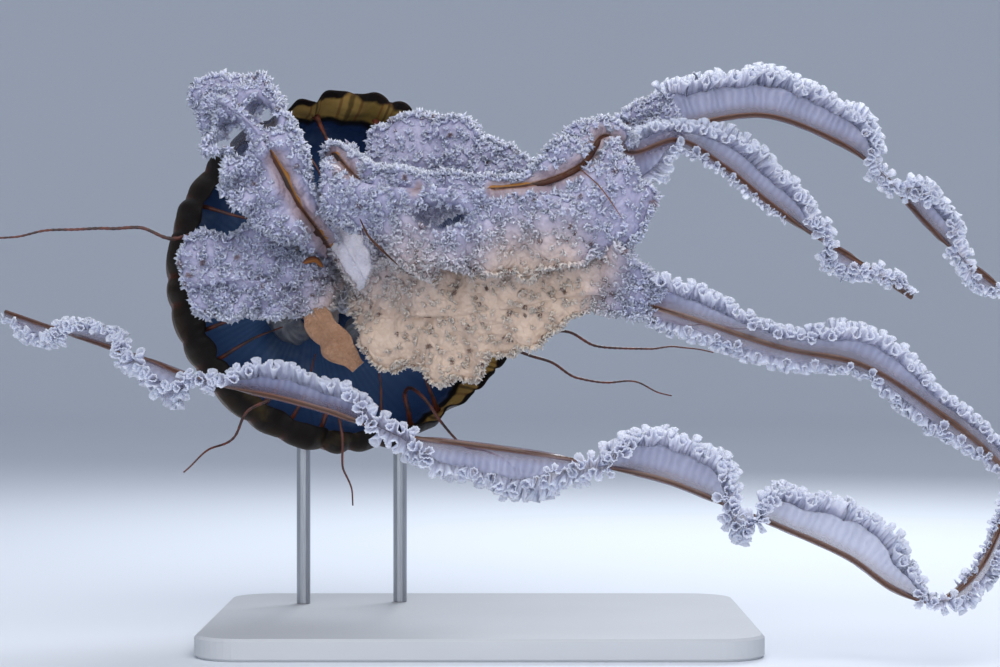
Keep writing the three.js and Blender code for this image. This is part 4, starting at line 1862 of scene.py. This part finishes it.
ARMS = (
    Arm(
        name="arm_a",
        deep=9.0,
        bare=((0.3, 3.0),),
        seed=11,
        keel_clear=7.0,
        gilded=Wing.SECOND,
        full_rib=2.9,
        windows=((Wing.FIRST, 3.9, 14.0, 17.0, 11.0), (Wing.SECOND, 3.6, 8.0, 8.0, 6.5)),
        rows=(
            (-79, 8, 209, 0, 5, 4), (-88, -50, 226, 0, 14, 8), (-98, -65, 241, 0, 30, 12),
            (-113, -76, 270, 0, 40, 20), (-125, -72, 284, 0, 38, 24), (-139, -60, 292, 0, 30, 18),
            (-152, -48, 286, 0, 14, 10),
        ),
    ),
    Arm(
        name="arm_b",
        deep=7.9,
        bare=((1.3, 3.05), (3.7, 4.05), (4.5, 99.0)),
        drape=(0.0, -10.0),
        seed=12,
        keel_clear=4.0,
        full_rib=1.7,
        windows=((Wing.SECOND, 4.15, 14.0, 14.0, 6.5),),
        rows=(
            (-70, 8, 216, 0, 4, 4), (-77, -28, 250, 0, 4, 13), (-79, -45, 267, 0, 6, 12),
            (-60, -83, 249, 0, 13, 29), (-26, -103, 245, 0, 9, 48), (21, -109, 246, 0, 5, 52),
            (51, -108, 256, 0, 32, 54), (65, -88, 273, 0, 10, 32), (82, -60, 267, 0, 11, 20),
            (108, -45, 275, 0, 8, 6), (133, -34, 262, 0, 17, 4), (159, -26, 242, 0, 16, 4),
            (183, -17, 226, 60, 11, 3), (201, -10, 216, 165, 12, 3), (221, -3, 204, 90, 8, 3),
            (243, 5, 190, 0, 4, 2),
        ),
    ),
    Arm(
        name="arm_c",
        deep=5.5,
        bare=((5.6, 99.0),),
        seed=13,
        rows=(
            (-61, 6, 210, 0, 4, 4), (-24, -21, 241, 0, 60, 9), (8, -32, 246, 0, 36, 9),
            (44, -34, 252, 0, 8, 22), (66, -32, 261, 0, 18, 34), (95, -24, 277, 0, 26, 9),
            (122, -15, 287, 0, 27, 3), (161, -2, 292, 0, 25, 3), (201, 12, 279, 0, 21, 3),
            (228, 22, 262, 110, 10, 3), (255, 32, 234, 0, 15, 3), (274, 37, 217, 90, 9, 3),
            (292, 42, 203, 170, 8, 3), (303, 45, 194, 90, 4, 2),
        ),
    ),
    Arm(
        name="arm_d",
        deep=5.8,
        bare=((5.6, 99.0),),
        drape=(9.0, 0.0),
        seed=14,
        rows=(
            (-67, 8, 199, 0, 4, 4), (-60, -24, 188, 0, 26, 13), (-43, -50, 180, 0, 38, 32),
            (-16, -66, 179, 0, 34, 38), (16, -75, 183, 0, 42, 26), (60, -86, 190, 0, 34, 10),
            (100, -97, 181, 0, 14, 8), (155, -106, 163, 0, 9, 9), (200, -105, 153, 0, 18, 5),
            (240, -103, 128, 0, 8, 9), (265, -108, 107, 0, 8, 5), (274, -115, 90, 0, 6, 4),
            (263, -123, 61, 0, 6, 4), (250, -127, 43, 20, 7, 4), (232, -129, 33, 90, 9, 3),
            (211, -128, 40, 165, 18, 3), (188, -126, 56, 180, 28, 3), (152, -124, 72, 170, 20, 3),
            (136, -123, 78, 55, 18, 3), (113, -122, 88, 165, 23, 3), (90, -121, 96, 180, 26, 3),
            (52, -117, 104, 60, 14, 3), (21, -114, 109, 0, 24, 3), (-10, -110, 113, 0, 19, 3),
            (-41, -106, 117, 85, 13, 3), (-78, -98, 129, 180, 13, 3), (-105, -91, 136, 175, 16, 3),
            (-143, -76, 144, 90, 8, 3), (-161, -66, 149, 10, 16, 3), (-178, -56, 155, 60, 11, 3),
            (-208, -36, 164, 165, 10, 2), (-239, -15, 173, 20, 11, 2), (-268, 5, 182, 0, 4, 2),
        ),
    ),
    Arm(
        name="arm_d_lobe",
        deep=9.0,
        bare=(),
        seed=15,
        rows=(
            (-78, 2, 198, 0, 4, 4), (-98, -28, 196, 0, 18, 18), (-125, -41, 199, 0, 28, 31),
            (-146, -42, 197, 0, 28, 31), (-158, -38, 193, 0, 14, 16),
        ),
    ),
)


@dataclass(frozen=True)
class Lacework:
    """All the lace and midribs of the arms."""

    wall: float = 0.26
    rib_half: tuple[float, float] = (1.3, 0.8)
    rib_sides: int = 8
    rib_step: float = 1.2
    most_faces: int = 185_000

    def build(self) -> list[Object]:
        """Makes the arms' skins, lace and midribs.

        Returns:
            The pieces.
        """
        made = []
        lace, membrane = LaceFinish().make(), MembraneFinish().make()
        for arm in ARMS:
            skin = arm.skin().make(membrane)
            nodes = [name for name in sorted(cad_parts) if self._belongs(name, arm.name)]
            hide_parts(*nodes)
            made.append(skin)
            for number, strips in enumerate(self._parcels(arm.lace(), 2), start=1):
                frill = Skin(f"{arm.name}_frill_{number}", strips, thickness=self.wall)
                made.append(frill.make(lace))
            for number, strips in enumerate(self._parcels(arm.florets(), 1), start=1):
                florets = Skin(f"{arm.name}_florets_{number}", strips, closed=True)
                made.append(florets.make(lace))
        strips = [self._rib(arm) for arm in ARMS]
        ribs = Skin("arm_midribs", strips, closed=True, bake_rows=8)
        made.append(ribs.make(RibFinish().make()))
        for piece in made:
            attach(piece, "root")
        return made

    @staticmethod
    def _belongs(node: str, arm: str) -> bool:
        """Tells whether a node is one of an arm's lengths."""
        return node == arm or node.removeprefix(arm + "_").isdigit()

    def _parcels(self, strips: list[Strip], walls: int) -> list[list[Strip]]:
        """Parcels strips of one or two walls out to pieces that each stay under the most faces.

        Args:
            strips: the strips.
            walls: 1, or 2 for strips that get a wall.

        Returns:
            The strips of each piece.
        """
        parcels, faces = [], self.most_faces
        for strip in strips:
            rows, columns = strip.points.shape[:2]
            new = 2 * walls * (rows - 1) * (columns - 1) + 4 * (walls - 1) * (rows + columns)
            if faces + new > self.most_faces:
                parcels.append([])
                faces = 0
            parcels[-1].append(strip)
            faces += new
        return parcels

    def _rib(self, arm: Arm) -> Strip:
        """Runs a midrib along an arm's keel.

        Args:
            arm: the arm.

        Returns:
            The midrib.
        """
        number = arm.keel.evenly(self.rib_step)
        stretch = arm.stretch(number)
        faces = [arm.surface(stretch, Wing.FIRST, 0 * number, face) for face in (1, -1)]
        front = 0.5 + 0.5 * np.sign(-stretch.face[:, 1:2]) * stretch.bare[:, None]
        middle = mix(faces[1], faces[0], front)
        wing = stretch.widths[Wing.FIRST] + stretch.widths[Wing.SECOND]
        thin = 0.4 + 0.5 * smoothstep(wing / 30)
        size = mix(thin, arm.full_rib, stretch.full) * (0.2 + 0.8 * stretch.bare)
        ends = np.minimum(stretch.length, stretch.length[-1] - stretch.length)
        size = size * (0.12 + 0.88 * smoothstep(ends / 24))
        half = np.outer(size, self.rib_half)
        wide = stretch.out * arm.gilded.value
        return tube_strip(middle, wide, stretch.face, half, self.rib_sides)


@dataclass(frozen=True)
class RibFinish:
    """An arm's midrib: red-brown, with a golden edge along one side."""

    name: str = "midrib"
    brown: tuple = painted(78, 42, 26)
    dark: tuple = painted(34, 18, 13)
    gold: tuple = painted(156, 104, 44)

    def make(self) -> Material:
        """Builds the material.

        Returns:
            The material.
        """
        rib = Finish(self.name, Roughness=0.5, Coat_Weight=0.05, Specular_IOR_Level=0.3)
        pattern = rib.node("ShaderNodeUVMap", {"uv_map": PATTERN_MAP}).outputs[0]
        around = rib.parts(pattern)[0]
        cloud = rib.grain(60.0, 3.0)
        dark = rib.blend(rib.eased(cloud, 0.35, 0.65), self.dark, self.brown)
        side = (around * TURN).math("COSINE") + 0.5 * (cloud - 0.5)
        rib.feed(Base_Color=rib.blend(rib.eased(side, 0.1, 0.4), dark, self.gold))
        rib.relief(rib.grain(500.0, 3.0), 0.15)
        return rib.material


# ---------- stalk, gonads, tentacles


@dataclass(frozen=True)
class Manubrium:
    """The mouth's stalk, from under the crown to where the four arms part.

    Attributes:
        profile: its radius and height at each of its knots, from under the crown down.
    """

    profile: tuple = ((0, 66), (22, 66), (16, 50), (13, 30), (14, -1), (17, -13), (0, -13))
    pale: tuple = painted(208, 190, 180)
    deep: tuple = painted(158, 134, 132)
    lobes: int = 4
    lobe_depth: float = 0.12
    crease: float = 0.1
    lump: float = 0.14
    seed: int = 31
    columns: int = 128
    rows: int = 60

    def build(self, bell: Bell) -> Object:
        """Makes the stalk and its material.

        Args:
            bell: the bell that it hangs from.

        Returns:
            The piece.
        """
        waves = Waviness(self.seed)
        angle = np.linspace(0, TURN, self.columns + 1)[None, :]
        knots = np.array(self.profile, float)
        number = np.linspace(0, len(knots) - 1, self.rows)
        line = Curve(np.c_[knots, 0 * knots[:, 0]], 0.5).at(number)
        radius, height = line[:, :2].T[:, :, None]
        lobe = 1 + self.lobe_depth * np.cos(self.lobes * angle)
        crease = 1 + self.crease * np.sin(4 * self.lobes * angle + 0.12 * height)
        lump = 1 + self.lump * waves.sheet(height + 200, 6 * np.abs(angle - math.pi), 7.0)
        points = bell.place(np.maximum(radius, 0) * lobe * crease * lump, angle, height)
        cream = FleshFinish("stalk flesh", self.pale, self.deep, coat=0.15)
        piece = Skin("mouth_stalk", [Strip(points)], closed=True, bake_rows=1).make(cream.make())
        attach(piece, "root")
        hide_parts("manubrium")
        return piece


@dataclass(frozen=True)
class Collar:
    """The ruffles round the mouth, from which the four arms part.

    Attributes:
        rings: for each ruffle its radius, its height to the crown, and how far its edge leans
            out for each step that it rises.
        reach: how high a ruffle is.
    """

    rings: tuple = ((16.5, -4.0, 1.6), (16.0, -9.0, 0.9), (11.0, -12.0, 0.3))
    reach: float = 8.5
    columns: int = 800
    warmth: float = 0.4
    first_seed: int = 51

    def build(self, bell: Bell) -> Object:
        """Makes the ruffles as one piece.

        Args:
            bell: the bell that it hangs from.

        Returns:
            The piece.
        """
        angle = np.linspace(0, TURN, self.columns)
        strips = []
        for number, (radius, height, lean) in enumerate(self.rings):
            turned = angle + 2.0 * number
            root = bell.place(radius, turned, height)
            rise = bell.place(radius + lean, turned, height - 1) - root
            high = np.full(self.columns, self.reach)
            waves = Waviness(self.first_seed + number)
            strip = Frill().grow(root, rise, high, waves, 0.0)
            strip.marks["warmth"] = self.warmth + 0 * strip.marks["tone"]
            strip.marks["spotted"] = 0 * strip.marks["tone"]
            strips.append(strip)
        ruffles = Skin("mouth_ruffles", strips, thickness=Lacework().wall, bake_rows=4)
        piece = ruffles.make(LaceFinish("mouth ruffles").make())
        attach(piece, "root")
        return piece


LIPS = (
    Arm(
        name="lip_1",
        deep=9.0,
        bare=(),
        seed=21,
        rows=(
            (-86, -10, 246, 0, 5, 5), (-80, -24, 231, 0, 12, 9), (-73, -29, 216, 0, 15, 9),
            (-64, -30, 201, 0, 11, 9), (-57, -27, 188, 0, 5, 5),
        ),
    ),
    Arm(
        name="lip_2",
        deep=9.0,
        bare=(),
        seed=22,
        rows=(
            (-96, -20, 190, 0, 5, 4), (-88, -33, 177, 0, 9, 10), (-77, -40, 164, 0, 8, 11),
            (-66, -43, 152, 0, 4, 5),
        ),
    ),
)


@dataclass(frozen=True)
class Lips:
    """The smooth lips round the mouth, between the roots of the arms.

    Attributes:
        paints: the finishes of the two lips, one white and one tan.
        palest: how near a lip's edge comes to its finish's pale colour, from 0 to 1.
    """

    paints: tuple[LaceFinish, ...] = (
        LaceFinish("white lip", painted(206, 200, 214), painted(248, 245, 251), grain_depth=0.7),
        LaceFinish("tan lip", painted(124, 88, 68), painted(200, 158, 126), grain_depth=0.9),
    )
    palest: float = 0.55

    def build(self) -> list[Object]:
        """Makes the lips, and the lace round the white one.

        Returns:
            The pieces.
        """
        made = []
        for lip, paint in zip(LIPS, self.paints):
            skin = lip.skin()
            for strip in skin.strips:
                strip.marks["spotted"] = strip.marks["warmth"] = 0 * strip.marks["tone"]
                strip.marks["tone"] = self.palest * strip.marks["tone"]
            made.append(skin.make(paint.make()))
        edging = [strip for wing in Wing for strip in LIPS[0].on_edge(wing, LIPS[0].front())]
        lace = Skin("lip_1_lace", edging, closed=True)
        made.append(lace.make(LaceFinish("lip lace").make()))
        for piece in made:
            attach(piece, "root")
        return made


@dataclass(frozen=True)
class Threads:
    """Bare ribs of side folds, which lie over the lace.

    Attributes:
        routes: each thread's half width, how far it lies above the skin, and the places that it
            passes, as the arm's number, the wing, the station and the distance from the keel.
        raised: how much higher a thread lies, as a share of its half width.
        flatness: its thickness as a share of its width.
        thinnest: its size at its ends, as a share of its size in the middle.
    """

    routes: tuple = (
        (0.8, 5.6, (
            (1, Wing.SECOND, 3.17, 16.5), (1, Wing.SECOND, 3.3, 22.0),
            (1, Wing.SECOND, 3.5, 30.0), (1, Wing.SECOND, 3.66, 36.0),
        )),
        (1.9, 5.5, (
            (4, Wing.SECOND, 1.22, 10.0), (4, Wing.SECOND, 1.12, 12.0), (4, Wing.SECOND, 1.02, 9.0),
        )),
        (0.35, 3.4, (
            (1, Wing.SECOND, 6.0, 2.0), (1, Wing.SECOND, 6.0, 16.0), (1, Wing.SECOND, 6.05, 34.0),
        )),
    )
    sides: int = 8
    step: float = 0.8
    raised: float = 0.4
    flatness: float = 0.7
    thinnest: float = 0.15
    paint: RibFinish = RibFinish(
        "loose rib", painted(96, 54, 27), painted(52, 28, 17), painted(128, 78, 34)
    )

    def build(self) -> Object:
        """Makes the threads as one piece.

        Returns:
            The piece.
        """
        strips = [self._thread(*route) for route in self.routes]
        piece = Skin("loose_ribs", strips, closed=True, bake_rows=2).make(self.paint.make())
        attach(piece, "root")
        return piece

    def _thread(self, half: float, lift: float, places: tuple) -> Strip:
        """Lays one thread over the lace that it passes, thinning it to both ends.

        Args:
            half: its half width.
            lift: how far it lies above the skin.
            places: the places that it passes.

        Returns:
            The thread.
        """
        knots, normals = [], []
        for number, wing, station, reach in places:
            arm = ARMS[number]
            length = np.interp([float(station)], arm.numbers, arm.lengths)
            place, normal, _, _ = arm.laid(wing, arm.front(), length, np.array([reach]))
            knots.append(place[0] + (lift + self.raised * half) * normal[0])
            normals.append(normal[0])
        curve = Curve(np.array(knots), 0.5)
        line = curve.at(curve.evenly(self.step))
        way = unit(np.gradient(line, axis=0))
        wide = unit(np.cross(way, np.mean(normals, axis=0)))
        share = np.linspace(0, 1, len(line))
        size = half * mix(self.thinnest, 1.0, np.sin(math.pi * share) ** 0.5)
        halves = np.outer(size, (1.0, self.flatness))
        return tube_strip(line, wide, np.cross(way, wide), halves, self.sides)


@dataclass(frozen=True)
class Gonads:
    """The folded gonads, in four pads under the crown."""

    count: int = 4
    ring: float = 34.0
    length: float = 16.0
    breadth: float = 9.0
    thickness: float = 4.6
    height: float = 57.0
    phase: float = 45.0
    folds: int = 9
    crease: float = 0.04
    pleat: float = 0.2
    # pale and deep are painted shade: the pads are coloured the dull blue-grey that they show deep
    # in the bell's shaded hollow.
    pale: tuple = painted(120, 122, 128)
    deep: tuple = painted(92, 98, 110)
    columns: int = 152
    rows: int = 28

    def build(self, bell: Bell) -> Object:
        """Makes the pads and their material.

        Args:
            bell: the bell that it hangs from.

        Returns:
            The piece.
        """
        middles = (math.radians(self.phase + 360 * i / self.count) for i in range(self.count))
        strips = [self._pad(bell, middle) for middle in middles]
        grey = FleshFinish("gonad folds", self.pale, self.deep, scale=160.0)
        piece = Skin("gonad_pads", strips, closed=True, bake_rows=4).make(grey.make())
        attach(piece, "root")
        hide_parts(*(f"gonad_{i + 1}" for i in range(self.count)))
        return piece

    def _pad(self, bell: Bell, middle: float) -> Strip:
        """Makes one pad, as a cushion creased all round its edge.

        Args:
            bell: the bell that it hangs from.
            middle: the angle of its middle about the axis.

        Returns:
            The pad.
        """
        around = np.linspace(0, TURN, self.columns + 1)[None, :]
        tip = np.linspace(0, math.pi, self.rows)[:, None]
        crease = 1 + self.crease * np.sin(self.folds * around) * np.sin(tip) ** 2
        flat = np.sin(tip) * crease
        across = self.breadth * flat * np.cos(around)
        aside = self.length * flat * np.sin(around)
        pleat = 1 + self.pleat * np.sin(self.folds * around + 5 * tip) * np.sin(tip)
        up = self.thickness * np.cos(tip) * pleat
        radius = self.ring + across
        return Strip(bell.place(radius, middle + aside / self.ring, self.height + up))


@dataclass(frozen=True)
class Tentacles:
    """The tentacles, three to each eighth of the rim.

    Attributes:
        trailing: a cleft's number, and how far its tentacle reaches out of the bell, swings
            round it in degrees, and lifts. The others are drawn up short.
        sense_every: every so many clefts, one holds a sense organ and no tentacle.
        start: how far down the rim a tentacle is rooted.
        inset: how far inside the rim's middle surface that is.
    """

    trailing: tuple = (
        (1, 96, -16, 6), (15, 128, 8, -22), (21, 58, -9, 16), (23, 36, 8, 8),
        (26, 46, 12, 20), (29, 104, 13, 6), (30, 128, 10, -4), (31, 150, 4, -10),
    )
    clefts: int = 32
    sense_every: int = 4
    start: float = 9.0
    inset: float = 3.1
    root_half: tuple[float, float] = (1.7, 1.0)
    tip_half: tuple[float, float] = (0.4, 0.35)
    sides: int = 6
    step: float = 1.6
    beads: float = 0.12
    bead_length: float = 3.2
    sway: float = 3.0
    sway_length: float = 17.0
    seed: int = 41
    paint: FleshFinish = FleshFinish(
        "tentacle",
        pale=painted(92, 38, 22),
        deep=painted(44, 16, 10),
        scale=140.0,
        depth=0.15,
        roughness=0.5,
        coat=0.08,
    )

    def build(self, bell: Bell) -> Object:
        """Makes the tentacles and their material.

        Args:
            bell: the bell that it hangs from.

        Returns:
            The piece.
        """
        rooted = [cleft for cleft in range(self.clefts) if cleft % self.sense_every]
        strips = [self._tentacle(bell, cleft) for cleft in rooted]
        piece = Skin("tentacles", strips, closed=True, bake_rows=6).make(self.paint.make())
        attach(piece, "root")
        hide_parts(*(f"tentacle_{i + 1:02d}" for i in range(len(rooted))))
        return piece

    def _line(self, bell: Bell, cleft: int) -> Array:
        """Lays out a tentacle's line.

        Args:
            bell: the bell that it hangs from.
            cleft: the number of the cleft that it grows from.

        Returns:
            Its points.
        """
        turn = 360 / self.clefts * cleft
        angle = math.radians(turn)
        radius, height, slope = bell.rim(np.array([angle]), np.array([self.start]))
        r = float(radius[0] - self.inset * math.sin(slope[0]))
        h = float(height[0] - self.inset * math.cos(slope[0]))
        shape = [(r, 0, h), (r - 9, 0, h - 7), (r - 20, 0, h - 14)]
        trailing = {number: way for number, *way in self.trailing}
        if cleft in trailing:
            reach, swing, lift = trailing[cleft]
            shape += [
                (r - 22, 0.1 * swing, h - 25),
                (r - 10, 0.3 * swing, h - 35),
                (r + 12, 0.5 * swing, h - 38),
                (r + 0.45 * reach, 0.6 * swing, h - 34 - 0.3 * lift),
                (r + 0.75 * reach, 0.9 * swing, h - 36 - 0.7 * lift),
                (r + reach, swing, h - 32 - lift),
            ]
        else:
            swing = 3 if cleft % 2 else -3
            shape += [(r - 33, 0.4 * swing, h - 18), (r - 45, swing, h - 18)]
        radii, turns, heights = np.array(shape).T
        curve = Curve(bell.place(radii, np.radians(turn + turns), heights), 0.5)
        line = curve.at(curve.evenly(self.step))
        length = walked(line)
        sway = Waviness(self.seed).line(length + 97 * cleft, self.sway_length)
        sway = smoothstep((length - 25) / 40) * sway
        aside = unit(np.cross(unit(np.gradient(line, axis=0)), np.array(bell.mouth_way)))
        return line + self.sway * sway[:, None] * aside

    def _tentacle(self, bell: Bell, cleft: int) -> Strip:
        """Makes one tentacle, a ribbon that thins to its tip.

        Args:
            bell: the bell that it hangs from.
            cleft: the number of the cleft that it grows from.

        Returns:
            The tentacle.
        """
        line = self._line(bell, cleft)
        way = unit(np.gradient(line, axis=0))
        wide = unit(np.cross(way, np.array(bell.mouth_way)))
        length = walked(line)
        share = (length / length[-1])[:, None]
        half = mix(np.array(self.root_half), np.array(self.tip_half), share**0.7)
        bead = 1 + self.beads * np.sin(TURN * length / self.bead_length + cleft)
        root = 1 + 0.5 * np.exp(-length / 3)
        half = half * (bead * root)[:, None]
        return tube_strip(line, wide, np.cross(way, wide), half, self.sides)


# ---------- stand and studio


class Stand:
    """Dresses the stand's nodes, which keep their shapes."""

    def dress(self) -> None:
        """Gives the board and the rods their finishes."""
        finish = StandFinish()
        paints = {"stand_base": finish.board_paint(), "stand_rod": finish.brushed_rod()}
        for name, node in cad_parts.items():
            for start, paint in paints.items():
                if name.startswith(start):
                    node.data.materials.clear()
                    node.data.materials.append(paint)


@dataclass(frozen=True)
class Lamp:
    """One softbox.

    Attributes:
        name: its name.
        place: where it stands, in metres.
        aim: what it points at.
        size: its width and height.
        power: its power in watts.
        colour: its colour.
    """

    name: str
    place: tuple
    aim: tuple
    size: tuple
    power: float
    colour: tuple = (1.0, 1.0, 1.0)

    def switch_on(self) -> None:
        """Makes the lamp."""
        data = bpy.data.lights.new(self.name, "AREA")
        data.shape = "RECTANGLE"
        data.size, data.size_y = self.size
        data.energy = self.power
        data.color = self.colour
        lamp = bpy.data.objects.new(self.name, data)
        bpy.context.scene.collection.objects.link(lamp)
        lamp.visible_camera = False
        lamp.location = self.place
        way = Vector(self.aim) - Vector(self.place)
        lamp.rotation_euler = way.to_track_quat("-Z", "Y").to_euler()


@dataclass(frozen=True)
class Studio:
    """A plain pale floor that curves up to a round wall, with soft lights, and the camera.

    Attributes:
        camera_place: where the camera stands. It looks along +Y.
        view_width: the breadth that it sees in the plane of y = 0.
        sensor: the breadth of its sensor, in millimetres.
        uneven: how much lighter the paper gets from place to place.
    """

    camera_place: tuple = (0.0108, -1.4, 0.1698)
    view_width: float = 0.562
    sensor: float = 36.0
    floor_radius: float = 3.4
    bend: float = 1.4
    wall_height: float = 2.6
    steps: int = 24
    columns: int = 96
    sweep: tuple = painted(220, 224, 231)
    uneven: float = 1.05
    air: tuple = (0.78, 0.86, 1.0, 1.0)
    air_strength: float = 0.5
    lamps: tuple = (
        Lamp("key", (0.2, -1.0, 1.25), (-0.02, -0.04, 0.2), (1.3, 1.1), 12.0, (1.0, 0.98, 0.95)),
        Lamp("fill", (-0.2, -1.75, 0.5), (0.0, 0.0, 0.18), (1.6, 1.2), 12.0, (0.9, 0.95, 1.0)),
        Lamp("rim", (0.35, 0.9, 0.95), (0.0, 0.0, 0.2), (0.8, 0.4), 11.0, (0.9, 0.95, 1.0)),
    )

    def build(self) -> None:
        """Makes the sweep, the lamps, the air and the camera."""
        self._sweep()
        for lamp in self.lamps:
            lamp.switch_on()
        self._air()
        self._camera()

    def _sweep(self) -> None:
        """Makes the floor, which bends up to the wall."""
        quarter = np.linspace(0, math.pi / 2, self.steps)
        out, up = self.bend * np.sin(quarter), self.bend * (1 - np.cos(quarter))
        bent = np.stack([self.floor_radius + out, up], axis=1)
        top = (self.floor_radius + self.bend, self.wall_height)
        radius, height = np.vstack([(0, 0), bent, top]).T[:, :, None]
        angle = np.linspace(0, TURN, self.columns + 1)[None, :]
        places = np.broadcast_arrays(radius * np.cos(angle), radius * np.sin(angle), height)
        strips = [Strip(np.stack(places, axis=-1) / MM)]
        paper = Finish("studio paper", Roughness=0.85)
        cloud = paper.grain(1.2, 2.0)
        lighter = tuple(min(1.0, c * self.uneven) for c in self.sweep)
        paper.feed(Base_Color=paper.blend(cloud, self.sweep, lighter))
        floor = Skin("studio_sweep", strips, closed=True, bake_rows=1)
        floor.make(paper.material)

    def _air(self) -> None:
        """Lights the room evenly, a little bluer than the lamps."""
        world = bpy.data.worlds.new("room")
        world.use_nodes = True
        sky = world.node_tree.nodes["Background"]
        sky.inputs["Color"].default_value = self.air
        sky.inputs["Strength"].default_value = self.air_strength
        bpy.context.scene.world = world

    def _camera(self) -> None:
        """Puts the camera straight before the model."""
        data = bpy.data.cameras.new("camera")
        data.sensor_width = self.sensor
        data.lens = self.sensor * -self.camera_place[1] / self.view_width
        data.clip_end = 20.0
        camera = bpy.data.objects.new("camera", data)
        camera.location = self.camera_place
        camera.rotation_euler = (math.pi / 2, 0, 0)
        bpy.context.scene.collection.objects.link(camera)
        bpy.context.scene.camera = camera
        bpy.context.scene.view_settings.view_transform = "Standard"


def report(piece: Object) -> None:
    """Logs a piece's name and size."""
    log.info("%s: %d faces", piece.name, len(piece.data.polygons))


def main() -> None:
    """Builds the model, its stand's finishes and the studio."""
    logging.basicConfig(level=logging.INFO, format="%(name)s: %(message)s")
    Studio().build()
    bell = Bell()
    made = [bell.build()]
    made += [part.build(bell) for part in (Manubrium(), Collar(), Gonads(), Tentacles())]
    made += Lips().build()
    made += Lacework().build()
    made.append(Threads().build())
    for piece in made:
        report(piece)
    Stand().dress()
    bpy.context.view_layer.update()


if __name__ == "__main__":
    main()
